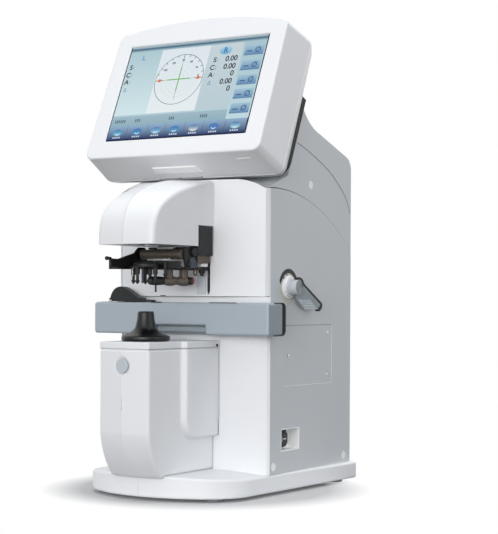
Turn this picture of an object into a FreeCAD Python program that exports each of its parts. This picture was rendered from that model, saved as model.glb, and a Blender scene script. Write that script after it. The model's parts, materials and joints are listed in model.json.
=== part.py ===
import FreeCAD, Part

import math
import os

import Sketcher
from FreeCAD import Placement, Rotation, Vector

# A table-top lens meter. +Z is up and the user stands at -Y. The origin is on the table top, under the
# middle of the whole machine. All lengths are in millimetres and all angles in degrees.
# A depth named "..._back" is counted backwards from the flat front plane of the column, and one named
# "..._reach" forwards from it. A height is counted from the table top.

SIZES = {
    # base
    "foot_height": 3.0,
    "foot_radius": 9.0,
    "foot_inset": 17.0,
    "base_width": 177.2,
    "base_front_width": 163.0,
    "base_edge": 15.5,
    "base_crown": 4.1,
    "base_reach": 82.7,
    "base_back": 154.5,
    "base_corner": 25.0,
    # column
    "column_width": 164.8,
    "column_back": 151.1,
    "wall": 3.0,
    "seam": 0.3,
    "lower_bulge": 5.2,
    "upper_bulge": 11.9,
    "ledge_height": 177.8,
    "shoulder_front": 275.0,
    "brow_height": 283.0,
    "shoulder_mid": 262.3,
    "shoulder_back": 220.9,
    "roof_back": 300.0,
    "neck_low": 13.0,
    "neck_high": 82.4,
    # side fittings
    "cap_radius": 4.0,
    "cap_depth": 1.6,
    "service_back": 28.1,
    "service_length": 86.0,
    "service_low": 97.2,
    "service_height": 55.0,
    "service_thickness": 1.6,
    "pocket_back": 21.3,
    "pocket_length": 33.1,
    "pocket_low": 38.2,
    "pocket_height": 20.9,
    "pocket_depth": 11.0,
    "inlet_width": 27.4,
    "inlet_height": 20.0,
    # nose
    "nose_reach": 107.1,
    "nose_fold": 6.9,
    "nose_width": 53.0,
    "cheek_width": 65.0,
    "cheek_reach": 55.9,
    "cheek_low": 52.5,
    "cheek_corner": 18.0,
    "lid_low": 132.4,
    "lid_thickness": 6.0,
    "axis_reach": 72.5,
    "flare_radius": 21.35,
    "flare_rim": 4.4,
    "flare_height": 12.8,
    "neck_radius": 7.5,
    "nosepiece_height": 26.2,
    "nosepiece_bore": 5.0,
    "button_radius": 6.35,
    "button_height": 117.8,
    "button_travel": 2.0,
    # head
    "head_width": 60.0,
    "head_low": 222.5,
    "head_high": 282.5,
    "head_fold": 9.3,
    "head_corner": 16.0,
    "head_wall": 2.5,
    "lamp_radius": 14.0,
    "window_radius": 11.0,
    # spectacle table
    "table_overhang": 13.7,
    "table_low": 143.4,
    "table_height": 29.1,
    "table_reach": 23.1,
    "table_bar": 17.0,
    "table_wrap": 24.4,
    "table_seal": 4.3,
    "table_notch_width": 58.0,
    "table_notch": 8.5,
    "table_notch_depth": 10.0,
    "table_travel": 35.0,
    "arm_offset": 59.0,
    "arm_width": 8.0,
    "rod_radius": 4.0,
    "rod_offset": 35.0,
    "rod_height": 155.0,
    "running_gap": 0.05,
    # lever
    "lever_back": 32.9,
    "lever_height": 186.9,
    "lever_length": 42.0,
    "lever_angle": 29.0,
    "lever_top": 5.2,
    "lever_low": 6.5,
    "lever_lip": 1.0,
    "hub_radius": 7.0,
    "hub_end": 94.0,
    "collar_radius": 9.0,
    "escutcheon_radius": 15.5,
    "shaft_radius": 4.0,
    "gear_teeth": 32.0,
    "gear_module": 1.25,
    # lens holder and marker
    "holder_travel": 14.0,
    "marker_travel": 6.0,
    "ring_low": 202.0,
    "ring_thickness": 4.0,
    "pin_circle": 9.0,
    "pin_radius": 1.4,
    "pin_tip": 184.0,
    "pen_radius": 1.5,
    "pen_tip": 190.0,
    "pen_spacing": 14.0,
    "pen_row": 4.0,
    "guide_offset": 24.5,
    # pupil distance slider
    "slider_inset": 14.1,
    "slider_length": 50.0,
    "slider_height": 14.0,
    "slider_travel": 110.0,
    # screen
    "screen_tilt": 23.7,
    "screen_front_reach": 40.4,
    "screen_front_height": 304.5,
    "screen_low_width": 189.6,
    "screen_high_width": 185.8,
    "screen_flare": 3.0,
    "screen_tall": 134.3,
    "screen_crown": 9.0,
    "screen_shell": 40.0,
    "screen_rim": 10.0,
    "screen_taper": 19.0,
    "screen_wall": 3.0,
    "display_width": 153.0,
    "display_tall": 101.0,
    "display_low": 18.0,
    "hinge_up": 80.0,
    "hinge_behind": 62.0,
    "hinge_radius": 3.0,
    "gasket": 2.6,
}


class Size:
    """A number together with the text that binds a property to the sheet."""

    def __init__(self, text, value):
        self.text = text
        self.value = value

    def join(self, other, sign, value):
        return Size(f"({self.text} {sign} {size(other).text})", value)

    def __add__(self, other):
        return self.join(other, "+", self.value + size(other).value)

    def __radd__(self, other):
        return size(other) + self

    def __sub__(self, other):
        return self.join(other, "-", self.value - size(other).value)

    def __rsub__(self, other):
        return size(other) - self

    def __mul__(self, other):
        return self.join(other, "*", self.value * size(other).value)

    def __rmul__(self, other):
        return size(other) * self

    def __truediv__(self, other):
        return self.join(other, "/", self.value / size(other).value)

    def __neg__(self):
        return size(0) - self


def size(number):
    return number if isinstance(number, Size) else Size(repr(float(number)), float(number))


def sine(angle):
    return Size(f"sin({size(angle).text})", math.sin(math.radians(size(angle).value)))


def cosine(angle):
    return Size(f"cos({size(angle).text})", math.cos(math.radians(size(angle).value)))


doc = FreeCAD.newDocument("LensMeter")
sheet = doc.addObject("Spreadsheet::Sheet", "Sizes")
for row, (alias, number) in enumerate(SIZES.items(), start=1):
    sheet.set(f"A{row}", alias)
    sheet.set(f"B{row}", str(number))
    sheet.setAlias(f"B{row}", alias)
doc.recompute()


class Sheet:
    """The sheet's sizes as attributes."""


s = Sheet()
for alias, number in SIZES.items():
    setattr(s, alias, Size(f"Sizes.{alias}", number))

# ---------------------------------------------------------------- drawing helpers

PLANES = {"Z": "XY_Plane", "Y": "XZ_Plane", "X": "YZ_Plane"}
TURNS = {"Z": Rotation(), "Y": Rotation(Vector(1, 0, 0), -90), "X": Rotation(Vector(0, 1, 0), 90)}
ROUND = 1 - math.sqrt(0.5)
nodes = {}


def node(name, item):
    """Name a finished sub-part. Its label is its file's name."""
    item.Label = name
    nodes[name] = item
    return item


def origin_plane(body, axis):
    for feature in body.Origin.OriginFeatures:
        if feature.Role == PLANES[axis]:
            return feature


def sketch_on(body, axis, outline, height):
    """Draw a closed outline on a plane across the axis. A point of four numbers ends an arc, which
    passes through the point that its first two numbers give."""
    sketch = body.newObject("Sketcher::SketchObject", body.Name + "_outline")
    sketch.AttachmentSupport = (origin_plane(body, axis), [""])
    sketch.MapMode = "FlatFace"
    sketch.setExpression("AttachmentOffset.Base.z", size(height).text)
    ends = [[size(number) for number in point] for point in outline]

    def spot(pair):
        return Vector(pair[0].value, pair[1].value, 0)

    def pin(geometry, position, pair):
        for kind, number in zip(("DistanceX", "DistanceY"), pair):
            rule = Sketcher.Constraint(kind, -1, 1, geometry, position, number.value)
            sketch.setExpression(f"Constraints[{sketch.addConstraint(rule)}]", number.text)

    runs = []
    for index, end in enumerate(ends):
        first, last = spot(ends[index - 1][-2:]), spot(end[-2:])
        if len(end) == 2:
            line = sketch.addGeometry(Part.LineSegment(first, last), False)
            runs.append((line, 1, 2))
            continue
        middle = spot(end[:2])
        if (middle - first).cross(last - middle).z > 0:
            arc = sketch.addGeometry(Part.Arc(first, middle, last), False)
            runs.append((arc, 1, 2))
        else:
            arc = sketch.addGeometry(Part.Arc(last, middle, first), False)
            runs.append((arc, 2, 1))
    for index, (run, start, stop) in enumerate(runs):
        following = runs[(index + 1) % len(runs)]
        rule = Sketcher.Constraint("Coincident", run, stop, following[0], following[1])
        sketch.addConstraint(rule)
        pin(run, stop, ends[index][-2:])
        if len(ends[index]) == 4:
            point = sketch.addGeometry(Part.Point(spot(ends[index][:2])), True)
            pin(point, 1, ends[index][:2])
            sketch.addConstraint(Sketcher.Constraint("PointOnObject", point, 1, run))
    return sketch


def prism(name, axis, outline, low, high):
    """Pad an outline of the two other axes, from low to high along the axis."""
    low, high = size(low), size(high)
    body = doc.addObject("PartDesign::Body", name)
    sketch = sketch_on(body, axis, outline, -high if axis == "Y" else low)
    pad = body.newObject("PartDesign::Pad", name + "_pad")
    pad.Profile = sketch
    pad.setExpression("Length", (high - low).text)
    return body


def turned(name, outline, x, y, z):
    """Turn an outline of (radius, height) points about a vertical axis through (x, y)."""
    body = doc.addObject("PartDesign::Body", name)
    sketch = sketch_on(body, "Y", outline, 0)
    turn = body.newObject("PartDesign::Revolution", name + "_turn")
    turn.Profile = sketch
    turn.ReferenceAxis = (sketch, ["V_Axis"])
    turn.Angle = 360
    return move(body, x, y, z)


def move(item, x=0, y=0, z=0):
    for axis, number in zip("xyz", (x, y, z)):
        item.setExpression("Placement.Base." + axis, size(number).text)
    return item


def lean(item, angle):
    """Turn a piece about the X axis, so that its top goes back and its rear end goes down."""
    item.Placement = Placement(Vector(), Rotation(Vector(1, 0, 0), 30))
    item.setExpression("Placement.Rotation.Angle", (-angle).text)
    return item


def turn(item, angle):
    """Turn a piece about the vertical axis."""
    item.Placement = Placement(Vector(), Rotation(Vector(0, 0, 1), 30))
    item.setExpression("Placement.Rotation.Angle", angle.text)
    return item


def box(name, x, y, z):
    """A block between two limits along each axis."""
    item = doc.addObject("Part::Box", name)
    for prop, (low, high) in zip(("Length", "Width", "Height"), (x, y, z)):
        item.setExpression(prop, (size(high) - size(low)).text)
    return move(item, x[0], y[0], z[0])


def rod(name, axis, radius, x, y, z, length):
    """A round bar that starts at (x, y, z) and runs along the axis."""
    item = doc.addObject("Part::Cylinder", name)
    item.Placement = Placement(Vector(), TURNS[axis])
    item.setExpression("Radius", size(radius).text)
    item.setExpression("Height", size(length).text)
    return move(item, x, y, z)


def fuse(name, items):
    item = doc.addObject("Part::MultiFuse", name)
    item.Shapes = items
    return item


def group(name, items):
    item = doc.addObject("Part::Compound", name)
    item.Links = items
    return item


def common(name, items):
    item = doc.addObject("Part::MultiCommon", name)
    item.Shapes = items
    return item


def cut(name, base, tools):
    item = doc.addObject("Part::Cut", name)
    item.Base = base
    item.Tool = tools[0] if len(tools) == 1 else group(name + "_tools", tools)
    return item


def flank(side, near, far):
    """The two limits across, low first, of something that lies between two distances on one side."""
    return (near, far) if side > 0 else (-far, -near)


# ---------------------------------------------------------------- shared places

column_front = (s.nose_reach - s.base_back) / 2
half = s.column_width / 2
inner = half - s.wall
base_top = s.foot_height + s.base_edge + s.base_crown
table_top = s.table_low + s.table_height
lid_top = s.lid_low + s.lid_thickness


def y(back):
    return column_front + back


axis_y = y(-s.axis_reach)
screen_y = y(-s.screen_front_reach)
up_y, up_z = sine(s.screen_tilt), cosine(s.screen_tilt)


def screen_point(up, behind):
    """Depth and height of a point given along and behind the tilted screen's face."""
    return screen_y + up * up_y + behind * up_z, s.screen_front_height + up * up_z - behind * up_y


shell_back = s.screen_shell
rim_back = shell_back + s.seam + s.screen_rim
taper_back = rim_back + s.screen_taper
gasket_front = taper_back + s.seam
gasket_back = gasket_front + s.gasket
foot_y, foot_z = screen_point(s.neck_low, gasket_back)
neck_y, neck_z = screen_point(s.neck_high, gasket_back)
pin_y, pin_z = screen_point(s.hinge_up, s.hinge_behind)
board_thickness = 1.6

# ---------------------------------------------------------------- base

wide = s.base_width / 2
narrow = s.base_front_width / 2
shoulder = y(-20)
toe = y(-s.base_reach + 15)
base_outline = prism(
    "base_outline",
    "Z",
    [
        (-wide, y(s.base_back)),
        (wide, y(s.base_back)),
        (narrow, shoulder),
        (narrow - s.base_corner * 0.27, y(-50), narrow - s.base_corner, toe),
        (0, y(-s.base_reach), -narrow + s.base_corner, toe),
        (-narrow + s.base_corner * 0.27, y(-50), -narrow, shoulder),
    ],
    s.foot_height,
    base_top,
)
crown_radius = (wide * wide + s.base_crown * s.base_crown) / (2 * s.base_crown)
crown = rod(
    "base_crown",
    "Y",
    crown_radius,
    0,
    y(-s.base_reach) - 1,
    base_top - crown_radius,
    s.base_reach + s.base_back + 2,
)
base_plate = node("base_plate", common("base", [base_outline, crown]))

feet = []
for side in (-1, 1):
    for name, offset, depth in (
        ("front", narrow - s.base_corner, y(-s.base_reach) + s.foot_inset * 2),
        ("rear", wide - s.foot_inset, y(s.base_back) - s.foot_inset),
    ):
        foot = rod(f"foot_{name}_{side + 1}", "Z", s.foot_radius, side * offset, depth, 0, s.foot_height)
        feet.append(foot)
node("rubber_feet", group("feet", feet))

# ---------------------------------------------------------------- column covers


def bowed(reach, inset, back):
    """A front wall's outline in plan, bowed forward between its two corners."""
    corner = half - inset
    return [
        (corner, y(back)),
        (corner, y(2 + inset / 2)),
        (corner - 2, y(inset)),
        (0, y(inset - reach), -corner + 2, y(inset)),
        (-corner, y(2 + inset / 2)),
        (-corner, y(back)),
    ]


front_depth = 10
lower_block = prism("lower_block", "Z", bowed(s.lower_bulge, 0, front_depth), s.foot_height, s.ledge_height)
lower_hollow = prism(
    "lower_hollow", "Z", bowed(s.lower_bulge, s.wall, front_depth + 1), 0, s.ledge_height - s.wall
)
arm_slots = []
for side in (-1, 1):
    centre = side * s.arm_offset
    arm_slots.append(
        box(
            f"arm_slot_{side + 1}",
            (centre - s.arm_width / 2 - 1.5, centre + s.arm_width / 2 + 1.5),
            (y(-s.upper_bulge), y(front_depth)),
            (s.rod_height, table_top - 1),
        )
    )
side_trims = []
for side in (-1, 1):
    trim_x = flank(side, half - s.wall, half + 1)
    trim_y = (y(2), y(front_depth + 1))
    side_trims.append(box(f"side_trim_{side + 1}", trim_x, trim_y, (0, s.shoulder_front)))
node(
    "lower_front_cover",
    cut("lower_front", lower_block, [lower_hollow, base_plate] + arm_slots + side_trims),
)

# The upper cover ends in a brow that is rounded at both corners and runs back on to the hood.
upper_low = s.ledge_height + s.seam
brow_depth = 20
hood_rise = (y(12), s.shoulder_front + 5.6)
upper_block = prism("upper_block", "Z", bowed(s.upper_bulge, 0, front_depth), upper_low, s.shoulder_front)
brow_low = s.shoulder_front - s.wall
brow = common(
    "brow",
    [
        prism("brow_plan", "Z", bowed(s.upper_bulge, 0, brow_depth), brow_low, s.brow_height),
        prism(
            "brow_front",
            "Y",
            [
                (half, s.shoulder_front - 4),
                (half - 14, s.brow_height - 3.6, half - 36, s.brow_height),
                (-half + 36, s.brow_height),
                (-half + 14, s.brow_height - 3.6, -half, s.shoulder_front - 4),
                (-half, s.ledge_height),
                (half, s.ledge_height),
            ],
            y(-s.upper_bulge - 1),
            y(brow_depth + 1),
        ),
    ],
)
upper_hollow = prism(
    "upper_hollow",
    "Z",
    bowed(s.upper_bulge, s.wall, front_depth + 1),
    upper_low - 1,
    s.shoulder_front - s.wall,
)
wiring_hole = box(
    "wiring_hole", (-15, 15), (y(-s.upper_bulge) - 1, y(0)), (s.head_low + 12, s.head_low + 36)
)
guide_slot = box(
    "guide_slot",
    (s.guide_offset - 1.6, s.guide_offset + 1.6),
    (y(-s.upper_bulge) - 1, y(0)),
    (upper_low + 4, s.head_low + 12),
)
hood_room = prism(
    "hood_room",
    "X",
    [
        (y(0), s.ledge_height),
        (y(brow_depth + 2), s.ledge_height),
        (y(brow_depth + 2), s.shoulder_front + 10),
        (hood_rise[0], hood_rise[1] + s.seam),
        (y(0), s.shoulder_front + 2 * s.seam),
    ],
    -half - 1,
    half + 1,
)
upper_shell = cut("upper_shell", upper_block, [upper_hollow] + side_trims)
upper_holes = [hood_room, wiring_hole, guide_slot]
node("upper_front_cover", cut("upper_front", fuse("upper_join", [upper_shell, brow]), upper_holes))


def side_outline(low):
    return [
        (y(2 + 0.3), low),
        (y(s.column_back), low),
        (y(s.column_back), s.shoulder_back - s.seam),
        (y(83.7), s.shoulder_mid - s.seam, y(2 + 0.3), s.shoulder_front - s.seam),
    ]


service_x = (half - s.service_thickness - 0.2, half + 1)
service_y = (y(s.service_back), y(s.service_back + s.service_length))
service_z = (s.service_low, s.service_low + s.service_height)
screw_places = [
    (service_y[0] + 6, service_z[0] + s.service_height / 2),
    (service_y[1] - 8, service_z[0] + 8),
    (service_y[1] - 8, service_z[1] - 8),
]
pocket_y = (y(s.pocket_back), y(s.pocket_back + s.pocket_length))
pocket_z = (s.pocket_low, s.pocket_low + s.pocket_height)
lever_y = y(s.lever_back)


def caps(side, places):
    """The holes for some of a side's screw caps, and the caps that fill them."""
    hole_start = half - s.cap_depth if side > 0 else -half - 1
    cap_start = half - s.cap_depth if side > 0 else -half + 0.2
    holes, covers = [], []
    for place, back, height in places:
        seat = f"{place}_{side + 1}"
        spot = (y(back), height)
        holes.append(rod("cap_hole_" + seat, "X", s.cap_radius, hole_start, *spot, s.cap_depth + 1))
        covers.append(rod("cap_" + seat, "X", s.cap_radius, cap_start, *spot, s.cap_depth - 0.2))
    return holes, covers


panel_caps = [("front", 8.7, base_top + 3.5), ("rear", 138.8, base_top + 3.5)]
hood_caps = [("hood", 73.3, s.shoulder_mid + 20)]
cap_covers, hood_holes = [], []
for side, name in ((-1, "left"), (1, "right")):
    limits = (inner, half) if side > 0 else (-half, -inner)
    slab = prism(f"{name}_slab", "X", side_outline(s.foot_height), *limits)
    holes, covers = caps(side, panel_caps)
    extra_holes, extra_covers = caps(side, hood_caps)
    cap_covers += covers + extra_covers
    hood_holes += extra_holes
    tools = [base_plate] + holes
    if side > 0:
        tools.append(box("service_seat", service_x, service_y, service_z))
        tools.append(box("pocket_hole", (inner - 1, half + 1), pocket_y, pocket_z))
        tools.append(rod("bush_hole", "X", s.collar_radius, inner - 1, lever_y, s.lever_height, s.wall + 2))
        tools.append(
            rod("escutcheon_seat", "X", s.escutcheon_radius, half - 1.5, lever_y, s.lever_height, 3)
        )
        for index, (depth, height) in enumerate(screw_places):
            tools.append(rod(f"panel_screw_hole_{index}", "X", 1.2, inner - 1, depth, height, s.wall + 2))
    node(f"{name}_side_panel", cut(f"{name}_panel", slab, tools))
node("side_screw_caps", group("caps", cap_covers))

rear_slab = box(
    "rear_slab",
    (-inner, inner),
    (y(s.column_back - s.wall), y(s.column_back)),
    (s.foot_height, s.shoulder_back - s.seam),
)
inlet_x = (-45, -45 + s.inlet_width)
inlet_z = (base_top + 22, base_top + 22 + s.inlet_height)
rear_depth = (y(s.column_back - s.wall) - 1, y(s.column_back) + 1)
rear_cuts = [base_plate, box("inlet_hole", inlet_x, rear_depth, inlet_z)]
for index in range(7):
    low = base_top + 110 + index * 9
    rear_cuts.append(box(f"vent_{index}", (-35, 35), rear_depth, (low, low + 3)))
node("rear_cover", cut("rear", rear_slab, rear_cuts))

# The hood closes the column over the shoulder line, under the screen and down the back.
hood_outline = [
    (y(83.7), s.shoulder_mid, y(0), s.shoulder_front + s.seam),
    hood_rise,
    (foot_y, foot_z),
    (neck_y, neck_z),
    (neck_y + 9.2, neck_z - 9.6, neck_y + 30.7, neck_z - 20.2),
    (y(s.column_back - 8.6), s.roof_back + 13.2),
    (y(s.column_back - 2.2), s.roof_back + 8, y(s.column_back), s.roof_back),
    (y(s.column_back), s.shoulder_back),
]
hood_block = prism("hood_block", "X", hood_outline, -half, half)
hood_hollow = prism(
    "hood_hollow",
    "X",
    [
        (y(s.wall), s.shoulder_front - 2.2),
        (y(13), s.shoulder_front + 2.6),
        (foot_y + 2.6, foot_z - 2.6),
        (neck_y - 1.2, neck_z - 11),
        (neck_y + 29.8, neck_z - 23.2),
        (y(s.column_back - 9.6), s.roof_back + 10.2),
        (y(s.column_back - s.wall), s.roof_back - 1),
        (y(s.column_back - s.wall), s.ledge_height),
        (y(s.wall), s.ledge_height),
    ],
    -inner,
    inner,
)
lug_offset = 48
lug_width = 4
lug_slots = []
for side in (-1, 1):
    lug_slots.append(
        box(
            f"lug_slot_{side + 1}",
            (side * lug_offset - lug_width / 2 - 1, side * lug_offset + lug_width / 2 + 1),
            (foot_y, neck_y + 9),
            (neck_z - 21, neck_z + 2),
        )
    )
node("hood_cover", cut("hood", hood_block, [hood_hollow] + lug_slots + hood_holes))

# ---------------------------------------------------------------- side fittings

service_gap = s.seam
service_slab = box(
    "service_slab",
    (service_x[0], service_x[0] + s.service_thickness),
    (service_y[0] + service_gap, service_y[1] - service_gap),
    (service_z[0] + service_gap, service_z[1] - service_gap),
)
service_holes, screws = [], []
for index, (depth, height) in enumerate(screw_places):
    service_holes.append(rod(f"head_hole_{index}", "X", 2.3, service_x[0] + 0.8, depth, height, 3))
    service_holes.append(rod(f"shank_hole_{index}", "X", 1.2, service_x[0] - 1, depth, height, 3))
    head = rod(f"screw_head_{index}", "X", 2.2, service_x[0] + 0.8, depth, height, 1.1)
    shank = rod(f"screw_shank_{index}", "X", 1.1, inner - 4, depth, height, service_x[0] + 1 - inner + 4)
    screws.append(fuse(f"screw_{index}", [head, shank]))
node("service_cover", cut("service", service_slab, service_holes))
node("service_cover_screws", group("service_screws", screws))

cup_wall = 1.2
cup_block = box(
    "cup_block",
    (half - s.pocket_depth - cup_wall, half),
    pocket_y,
    pocket_z,
)
cup_hollow = box(
    "cup_hollow",
    (half - s.pocket_depth, half + 1),
    (pocket_y[0] + cup_wall, pocket_y[1] - cup_wall),
    (pocket_z[0] + cup_wall, pocket_z[1] - cup_wall),
)
rocker_y = (pocket_y[0] + 3, pocket_y[1] - 9)
rocker_z = (pocket_z[0] + 3.2, pocket_z[1] - 2.6)
rocker_hole = box(
    "rocker_hole",
    (half - s.pocket_depth - cup_wall - 1, half - s.pocket_depth + 1),
    (rocker_y[0] + 1, rocker_y[1] - 1),
    (rocker_z[0] + 1, rocker_z[1] - 1),
)
node("switch_pocket", cut("pocket_cup", cup_block, [cup_hollow, rocker_hole]))
frame_x = half - s.pocket_depth
switch_block = fuse(
    "switch_block",
    [
        box("switch_flange", (frame_x, frame_x + 2), rocker_y, rocker_z),
        box(
            "switch_case",
            (frame_x - 16, frame_x),
            (rocker_y[0] + 1.2, rocker_y[1] - 1.2),
            (rocker_z[0] + 1.2, rocker_z[1] - 1.2),
        ),
    ],
)
switch_hollow = box(
    "switch_hollow",
    (frame_x - 6, frame_x + 3),
    (rocker_y[0] + 2.2, rocker_y[1] - 2.2),
    (rocker_z[0] + 2.2, rocker_z[1] - 2.2),
)
node("switch_case", cut("switch_shell", switch_block, [switch_hollow]))
rocker_mid = (rocker_y[0] + rocker_y[1]) / 2
rocker_reach = (rocker_y[1] - rocker_y[0]) / 2 - 2.6
node(
    "power_rocker",
    prism(
        "rocker",
        "Z",
        [
            (frame_x - 2.4, rocker_mid - rocker_reach + 0.7),
            (frame_x + 1.4, rocker_mid - rocker_reach),
            (frame_x + 1.6, rocker_mid, frame_x + 3.8, rocker_mid + rocker_reach),
            (frame_x - 2.4, rocker_mid + rocker_reach - 1.2),
        ],
        rocker_z[0] + 2.6,
        rocker_z[1] - 2.6,
    ),
)

inlet_y = (y(s.column_back) - 18, y(s.column_back))
inlet_block = fuse(
    "inlet_block",
    [
        box("inlet_body", inlet_x, inlet_y, inlet_z),
        box(
            "inlet_flange",
            (inlet_x[0] - 4, inlet_x[1] + 4),
            (inlet_y[1], inlet_y[1] + 1.5),
            (inlet_z[0] - 3, inlet_z[1] + 3),
        ),
    ],
)
inlet_socket = box(
    "inlet_socket",
    (inlet_x[0] + 2, inlet_x[1] - 2),
    (inlet_y[1] - 15, inlet_y[1] + 2),
    (inlet_z[0] + 2, inlet_z[1] - 2),
)
node("power_inlet", cut("inlet", inlet_block, [inlet_socket]))
inlet_pins = []
for index, (across, up) in enumerate(((-7, -1.5), (0, 2.5), (7, -1.5))):
    centre_x = (inlet_x[0] + inlet_x[1]) / 2 + across
    centre_z = (inlet_z[0] + inlet_z[1]) / 2 + up
    inlet_pins.append(
        box(
            f"inlet_pin_{index}",
            (centre_x - 1, centre_x + 1),
            (inlet_y[1] - 15, inlet_y[1] - 3),
            (centre_z - 2, centre_z + 2),
        )
    )
node("inlet_pins", group("contact_pins", inlet_pins))

# ---------------------------------------------------------------- lower housing


def tangent(angle):
    return sine(angle) / cosine(angle)


def folded_plan(width, fold, inset, back=0):
    """A plan whose front comes forward to a crease in the middle."""
    side = width / 2 - inset
    crease = inset - s.nose_reach
    return [
        (-side, y(back)),
        (-side, y(crease + side * tangent(fold))),
        (0, y(crease)),
        (side, y(crease + side * tangent(fold))),
        (side, y(back)),
    ]


def folded(name, outline, fold, inset, width, heights):
    """A solid that has this outline from the side, drawn backwards from the crease, and whose front
    falls away evenly on both sides of the crease."""
    leaves = []
    for side in (-1, 1):
        leaf = prism(f"{name}_leaf_{side + 1}", "X", outline, -width, width)
        leaves.append(move(turn(leaf, side * fold), 0, y(inset - s.nose_reach), 0))
    limits = box(
        name + "_limits", (inset - width / 2, width / 2 - inset), (y(-s.nose_reach - 1), y(3)), heights
    )
    return common(name, leaves + [limits])


leaf_length = s.nose_reach + 8


def chin(inset):
    """The lower housing from the side: its chin sweeps back to the base's front edge."""
    top = s.lid_low + (0 if inset == 0 else 1)
    sole = base_top - 2 + inset
    return [
        (leaf_length, top),
        (0, top),
        (0, base_top + 38),
        (6.5, base_top + 14.4 + inset / 2, 17.6, sole),
        (leaf_length, sole),
    ]


def cheek(inset):
    low, reach = s.cheek_low + inset, inset - s.cheek_reach
    top, bend = s.lid_low + (0 if inset == 0 else 1), s.cheek_corner
    return [
        (y(0), low),
        (y(0), top),
        (y(reach), top),
        (y(reach), low + bend),
        (y(reach + bend * ROUND), low + bend * ROUND, y(reach + bend), low),
    ]


def housing(name, inset):
    side = s.cheek_width / 2 - inset
    heights = (s.foot_height, s.lid_low + 2)
    nose = folded(name + "_nose", chin(inset), s.nose_fold, inset, s.nose_width, heights)
    return fuse(name, [nose, prism(name + "_cheeks", "X", cheek(inset), -side, side)])


button_hole = rod(
    "button_hole", "Y", s.button_radius + s.running_gap * 2, 0, y(-s.nose_reach) - 1, s.button_height, 12
)
nose_outer = housing("nose_outer", 0)
nose_inner = housing("nose_inner", s.wall)
node("nose_housing", cut("nose_shell", nose_outer, [nose_inner, lower_block, base_plate, button_hole]))

lid_front = prism("lid_front", "Z", folded_plan(s.nose_width, s.nose_fold, 0), s.lid_low, lid_top)
lid_rear = box(
    "lid_rear", (-s.cheek_width / 2, s.cheek_width / 2), (y(-s.cheek_reach), y(0)), (s.lid_low, lid_top)
)
lid_hole = rod("lid_hole", "Z", s.nosepiece_bore + 4, 0, axis_y, s.lid_low - 1, s.lid_thickness + 2)
node("housing_lid", cut("lid", fuse("lid_block", [lid_front, lid_rear]), [lid_hole, lower_block]))

bore = s.nosepiece_bore
nosepiece = turned(
    "nosepiece_turned",
    [
        (s.flare_radius, 0),
        (s.flare_radius, s.flare_rim),
        (s.neck_radius + 6.6, s.flare_height - 4.9),
        (s.neck_radius + 1.4, s.flare_height),
        (s.neck_radius, s.nosepiece_height - 1.4),
        (s.neck_radius - 1, s.nosepiece_height),
        (bore, s.nosepiece_height),
        (bore, 0),
    ],
    0,
    axis_y,
    lid_top,
)
node("nosepiece", nosepiece)
node("nose_window", rod("nose_glass", "Z", bore, 0, axis_y, lid_top + s.nosepiece_height - 8, 2))

button_front = y(-s.nose_reach) - 0.4
node(
    "read_button",
    fuse(
        "button",
        [
            rod("button_face", "Y", s.button_radius, 0, button_front, s.button_height, 9),
            rod("button_stem", "Y", 2, 0, button_front + 9, s.button_height, 3),
        ],
    ),
)
switch_front = button_front + 12 + s.button_travel + s.seam
can_z = (s.button_height - 4, s.button_height + 4)
node(
    "button_switch",
    fuse(
        "tact_switch",
        [
            box("switch_can", (-4, 4), (switch_front, switch_front + 5), can_z),
            box(
                "switch_board",
                (-s.nose_width / 2 + s.wall, s.nose_width / 2 - s.wall),
                (switch_front + 5, switch_front + 5 + board_thickness),
                (s.button_height - 10, s.button_height + 10),
            ),
        ],
    ),
)

barrel_radius = 12
barrel_length = 62
barrel_low = s.lid_low - barrel_length
barrel = cut(
    "barrel_shell",
    fuse(
        "barrel_block",
        [
            rod("barrel_tube", "Z", barrel_radius, 0, axis_y, barrel_low, barrel_length),
            rod("barrel_flange", "Z", barrel_radius + 5, 0, axis_y, s.lid_low - 3, 3),
        ],
    ),
    [rod("barrel_bore", "Z", barrel_radius - 2, 0, axis_y, barrel_low - 1, barrel_length + 2)],
)
node("optics_barrel", barrel)
node("objective_lens", rod("objective", "Z", barrel_radius - 2, 0, axis_y, s.lid_low - 12, 4))
node(
    "sensor_board",
    box(
        "sensor_plate",
        (-18, 18),
        (axis_y - 16, axis_y + 16),
        (barrel_low - board_thickness, barrel_low),
    ),
)

# ---------------------------------------------------------------- head


def head_side(inset):
    """The head from the side, drawn backwards from the crease: a steep front under a long brow."""
    low, high = s.head_low + inset, s.head_high - inset
    return [
        (leaf_length, low),
        (0, low),
        (1, s.head_high - 45.5),
        (3.2, s.head_high - 32, 7.5, high - 22.2),
        (15.3, high - 14.5, 26, high - 10),
        (44, high - 4.8, 66, high - 1.1),
        (80, high),
        (leaf_length, high),
    ]


def head_front(inset):
    low, high = s.head_low + inset, s.head_high - inset
    side, bend = s.head_width / 2 - inset, s.head_corner
    return [
        (-side, low),
        (side, low),
        (side, high - bend),
        (side - bend * ROUND, high - bend * ROUND, side - bend, high),
        (-side + bend, high),
        (-side + bend * ROUND, high - bend * ROUND, -side, high - bend),
    ]


def arm(name, inset):
    front = prism(name + "_front", "Y", head_front(inset), y(-s.nose_reach - 1), y(4))
    heights = (s.ledge_height, s.brow_height + 10)
    sides = folded(name + "_sides", head_side(inset), s.head_fold, inset, s.head_width, heights)
    return common(name, [sides, front])


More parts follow.
